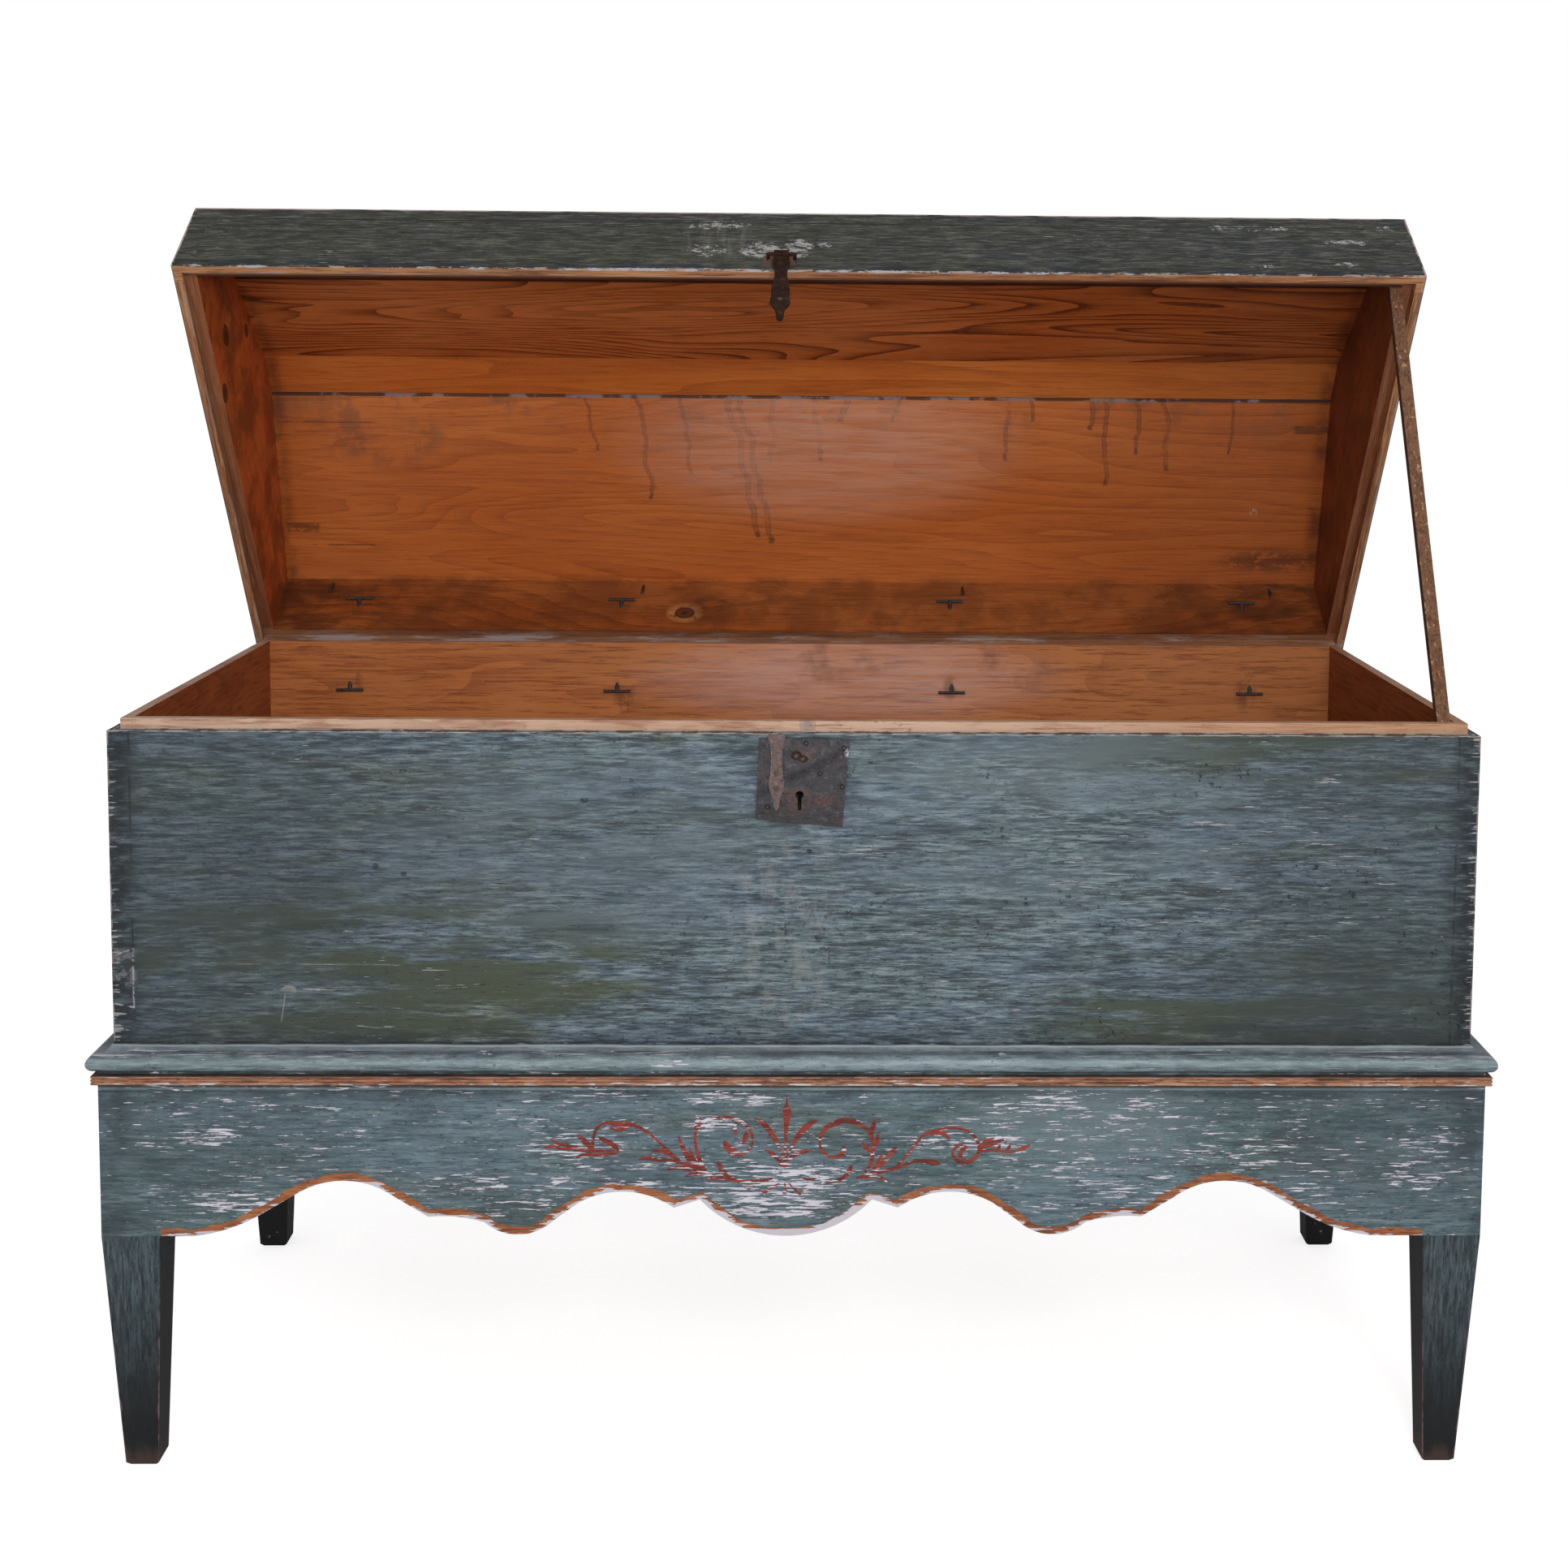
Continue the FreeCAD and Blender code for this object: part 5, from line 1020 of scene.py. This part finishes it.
def border(material):
    """The painted border that follows the scallops, a finger wide."""
    edge = [Vector(spot) for spot in scallop_edge()]
    edge.insert(0, Vector((-0.652, edge[0].y)))
    edge.append(Vector((0.652, edge[-1].y)))
    line = []
    for start, end in zip(edge, edge[1:]):
        parts = max(1, int((end - start).length / 0.006))
        line += [start.lerp(end, part / parts) for part in range(parts)]
    line.append(edge[-1])
    mesh = bmesh.new()
    across = mesh.verts.layers.float.new("across")
    rows = []
    for number, spot in enumerate(line):
        before = line[max(number - 1, 0)]
        after = line[min(number + 1, len(line) - 1)]
        way = (after - before).normalized()
        wide = 0.0078 + 0.0009 * math.sin(number * 0.9) + 0.0006 * math.sin(number * 2.3 + 1)
        inner = spot + Vector((-way.y, way.x)) * wide
        face = APRON_FRONT - 0.00015
        rows.append([mesh.verts.new((at.x, face, at.y)) for at in (spot, inner)])
        rows[-1][1][across] = 1
    stitch(mesh, rows)
    mesh.normal_update()
    make_piece("scallop_border", mesh, material)


def dress():
    """Every piece of the chest gets the finish that it shows."""
    flame = ((184, 94, 40), (92, 36, 12), (200, 114, 60))
    ridge = ((190, 98, 36), (138, 62, 22), (202, 116, 52))
    broad = ((184, 95, 34), (134, 60, 20), (194, 108, 46))
    strip = ((156, 80, 32), (84, 38, 16), (172, 98, 48))
    ends = ((140, 66, 32), (84, 34, 16), (156, 80, 42))
    lit = ((194, 90, 36), (156, 70, 28), (204, 106, 50))
    plate = ((54, 52, 56), (76, 58, 54), (102, 100, 106))
    strap = ((98, 80, 78), (112, 80, 68), (154, 140, 136))
    strap_rivet = ((74, 58, 56), (96, 66, 54), (150, 136, 130))
    brown = ((46, 27, 19), (68, 40, 28), (84, 62, 50))
    hasp_rivet = ((88, 70, 56), (80, 56, 42), (128, 108, 90))
    dark = ((52, 46, 44), (92, 58, 42), (92, 86, 82))
    for material, names in (
        (box_finish(), "box_front_board box_back_board box_left_board box_right_board"),
        (bare_pine_finish(), "bottom_front_board bottom_middle_board bottom_rear_board"),
        (stand_finish(), "front_apron rear_apron left_apron right_apron apron_pegs"),
        (moulding_finish(), "front_torus_moulding left_torus_moulding right_torus_moulding"),
        (bead_finish(), "front_bead left_bead right_bead"),
        (brad_finish(), "moulding_brads"),
        (leg_finish(), "front_left_leg front_right_leg rear_left_leg rear_right_leg"),
        (lid_finish("lid_front_pine", flame, "x", 1, 30), "lid_front_board"),
        (lid_finish("lid_front_cant_pine", flame, "x", 2, 36, figure=1.7), "lid_front_cant"),
        (lid_finish("lid_ridge_pine", ridge, "x", 3, 12), "lid_ridge_board"),
        (lid_finish("lid_rear_cant_pine", broad, "x", 4, 30, damp_and_sheen=True), "lid_rear_cant"),
        (lid_finish("lid_rear_pine", strip, "x", 5, 22, knotty=True), "lid_rear_board"),
        (lid_finish("lid_right_end_pine", ends, "y", 6, 18), "lid_right_end"),
        (
            lid_finish("lid_left_end_pine", lit, "y", 6, 18, knotty=True, figure=0.25),
            "lid_left_end",
        ),
        (iron_finish("lock_plate_iron", plate, 1, True), "lock_plate lock_plate_nails"),
        (iron_finish("front_strap_iron", strap, 2), "front_strap"),
        (iron_finish("strap_rivet_iron", strap_rivet, 6), "front_strap_rivets"),
        (iron_finish("hasp_iron", brown, 3, shine=0.08), "hasp hasp_staple prop_pin"),
        (iron_finish("hasp_rivet_iron", hasp_rivet, 7), "hasp_rivet"),
        (
            iron_finish("dark_iron", dark, 4),
            "lock_case lock_case_nails lock_bolt lock_spring bottom_nails lid_nails"
            " box_hinge_pin_1 box_hinge_pin_2 box_hinge_pin_3 box_hinge_pin_4"
            " lid_hinge_pin_1 lid_hinge_pin_2 lid_hinge_pin_3 lid_hinge_pin_4",
        ),
        (stick_finish(), "prop_stick"),
    ):
        for name in names.split():
            slots = nodes[name].data.materials
            for number in range(len(slots)):
                slots[number] = material
    scrollwork(scrollwork_finish())
    border(border_finish())


def set_camera():
    """A long lens a little above the rim, as the chest was photographed."""
    yaw, pitch, roll = (math.radians(turn) for turn in (1.20588, 5.13447, 0.46763))
    ahead = Vector(
        (math.sin(yaw) * math.cos(pitch), math.cos(yaw) * math.cos(pitch), -math.sin(pitch))
    )
    right = Vector((math.cos(yaw), -math.sin(yaw), 0))
    up = right.cross(ahead)
    level = right * math.cos(roll) + up * math.sin(roll)
    upright = up * math.cos(roll) - right * math.sin(roll)
    lens = bpy.data.cameras.new("camera")
    lens.lens = 48.868
    lens.sensor_width = 36
    lens.shift_x = -0.04947
    lens.shift_y = -0.16356
    camera = bpy.data.objects.new("camera", lens)
    turn = Matrix((level, upright, -ahead)).transposed()
    camera.matrix_world = Matrix.Translation((0.0176, -2.469963, 1.1806)) @ turn.to_4x4()
    bpy.context.collection.objects.link(camera)
    bpy.context.scene.camera = camera


def lamp(name, place, aim, size, power):
    """A square soft box."""
    light = bpy.data.lights.new(name, "AREA")
    light.shape = "SQUARE"
    light.size = size
    light.energy = power
    stand = bpy.data.objects.new(name, light)
    stand.location = place
    stand.rotation_euler = (Vector(aim) - Vector(place)).to_track_quat("-Z", "Y").to_euler()
    bpy.context.collection.objects.link(stand)


def set_studio():
    """A white floor that keeps the shadow, a white surround and soft boxes in front."""
    lamp("front_soft_box", (0.5, -3.0, 1.8), (0.05, 0, 0.75), 1.2, 46)
    lamp("low_soft_box", (-1.2, -3.0, 0.9), (0, 0, 0.5), 1.4, 10)

    world = bpy.data.worlds.new("studio")
    bpy.context.scene.world = world
    surround = Tree(world)
    seen = surround.node("ShaderNodeLightPath", {}, {}, "Is Camera Ray")
    passed = Wire(surround, seen.socket.node.outputs["Is Transmission Ray"])
    strength = surround.node("ShaderNodeMapRange", {}, {0: seen.larger(passed), 3: 0.42, 4: 1})
    sky = surround.node("ShaderNodeBackground", {}, {0: (1, 1, 1, 1), 1: strength})
    surround.node("ShaderNodeOutputWorld", {}, {0: sky})

    paper = bpy.data.materials.new("studio_floor")
    sheet = Tree(paper)
    matt = sheet.node("ShaderNodeBsdfDiffuse", {}, {0: (0.8, 0.8, 0.8, 1)})
    seen = sheet.node("ShaderNodeLightPath", {}, {}, "Is Camera Ray")
    glow = sheet.node("ShaderNodeEmission", {}, {1: seen * 0.72})
    both = sheet.node("ShaderNodeAddShader", {}, {0: matt, 1: glow})
    sheet.node("ShaderNodeOutputMaterial", {}, {0: both})
    mesh = bmesh.new()
    bmesh.ops.create_grid(mesh, x_segments=1, y_segments=1, size=14)
    data = bpy.data.meshes.new("studio_floor")
    mesh.to_mesh(data)
    mesh.free()
    data.materials.append(paper)
    floor = bpy.data.objects.new("studio_floor", data)
    bpy.context.collection.objects.link(floor)


bpy.context.scene.view_settings.view_transform = "Standard"
set_camera()
set_studio()
dress()
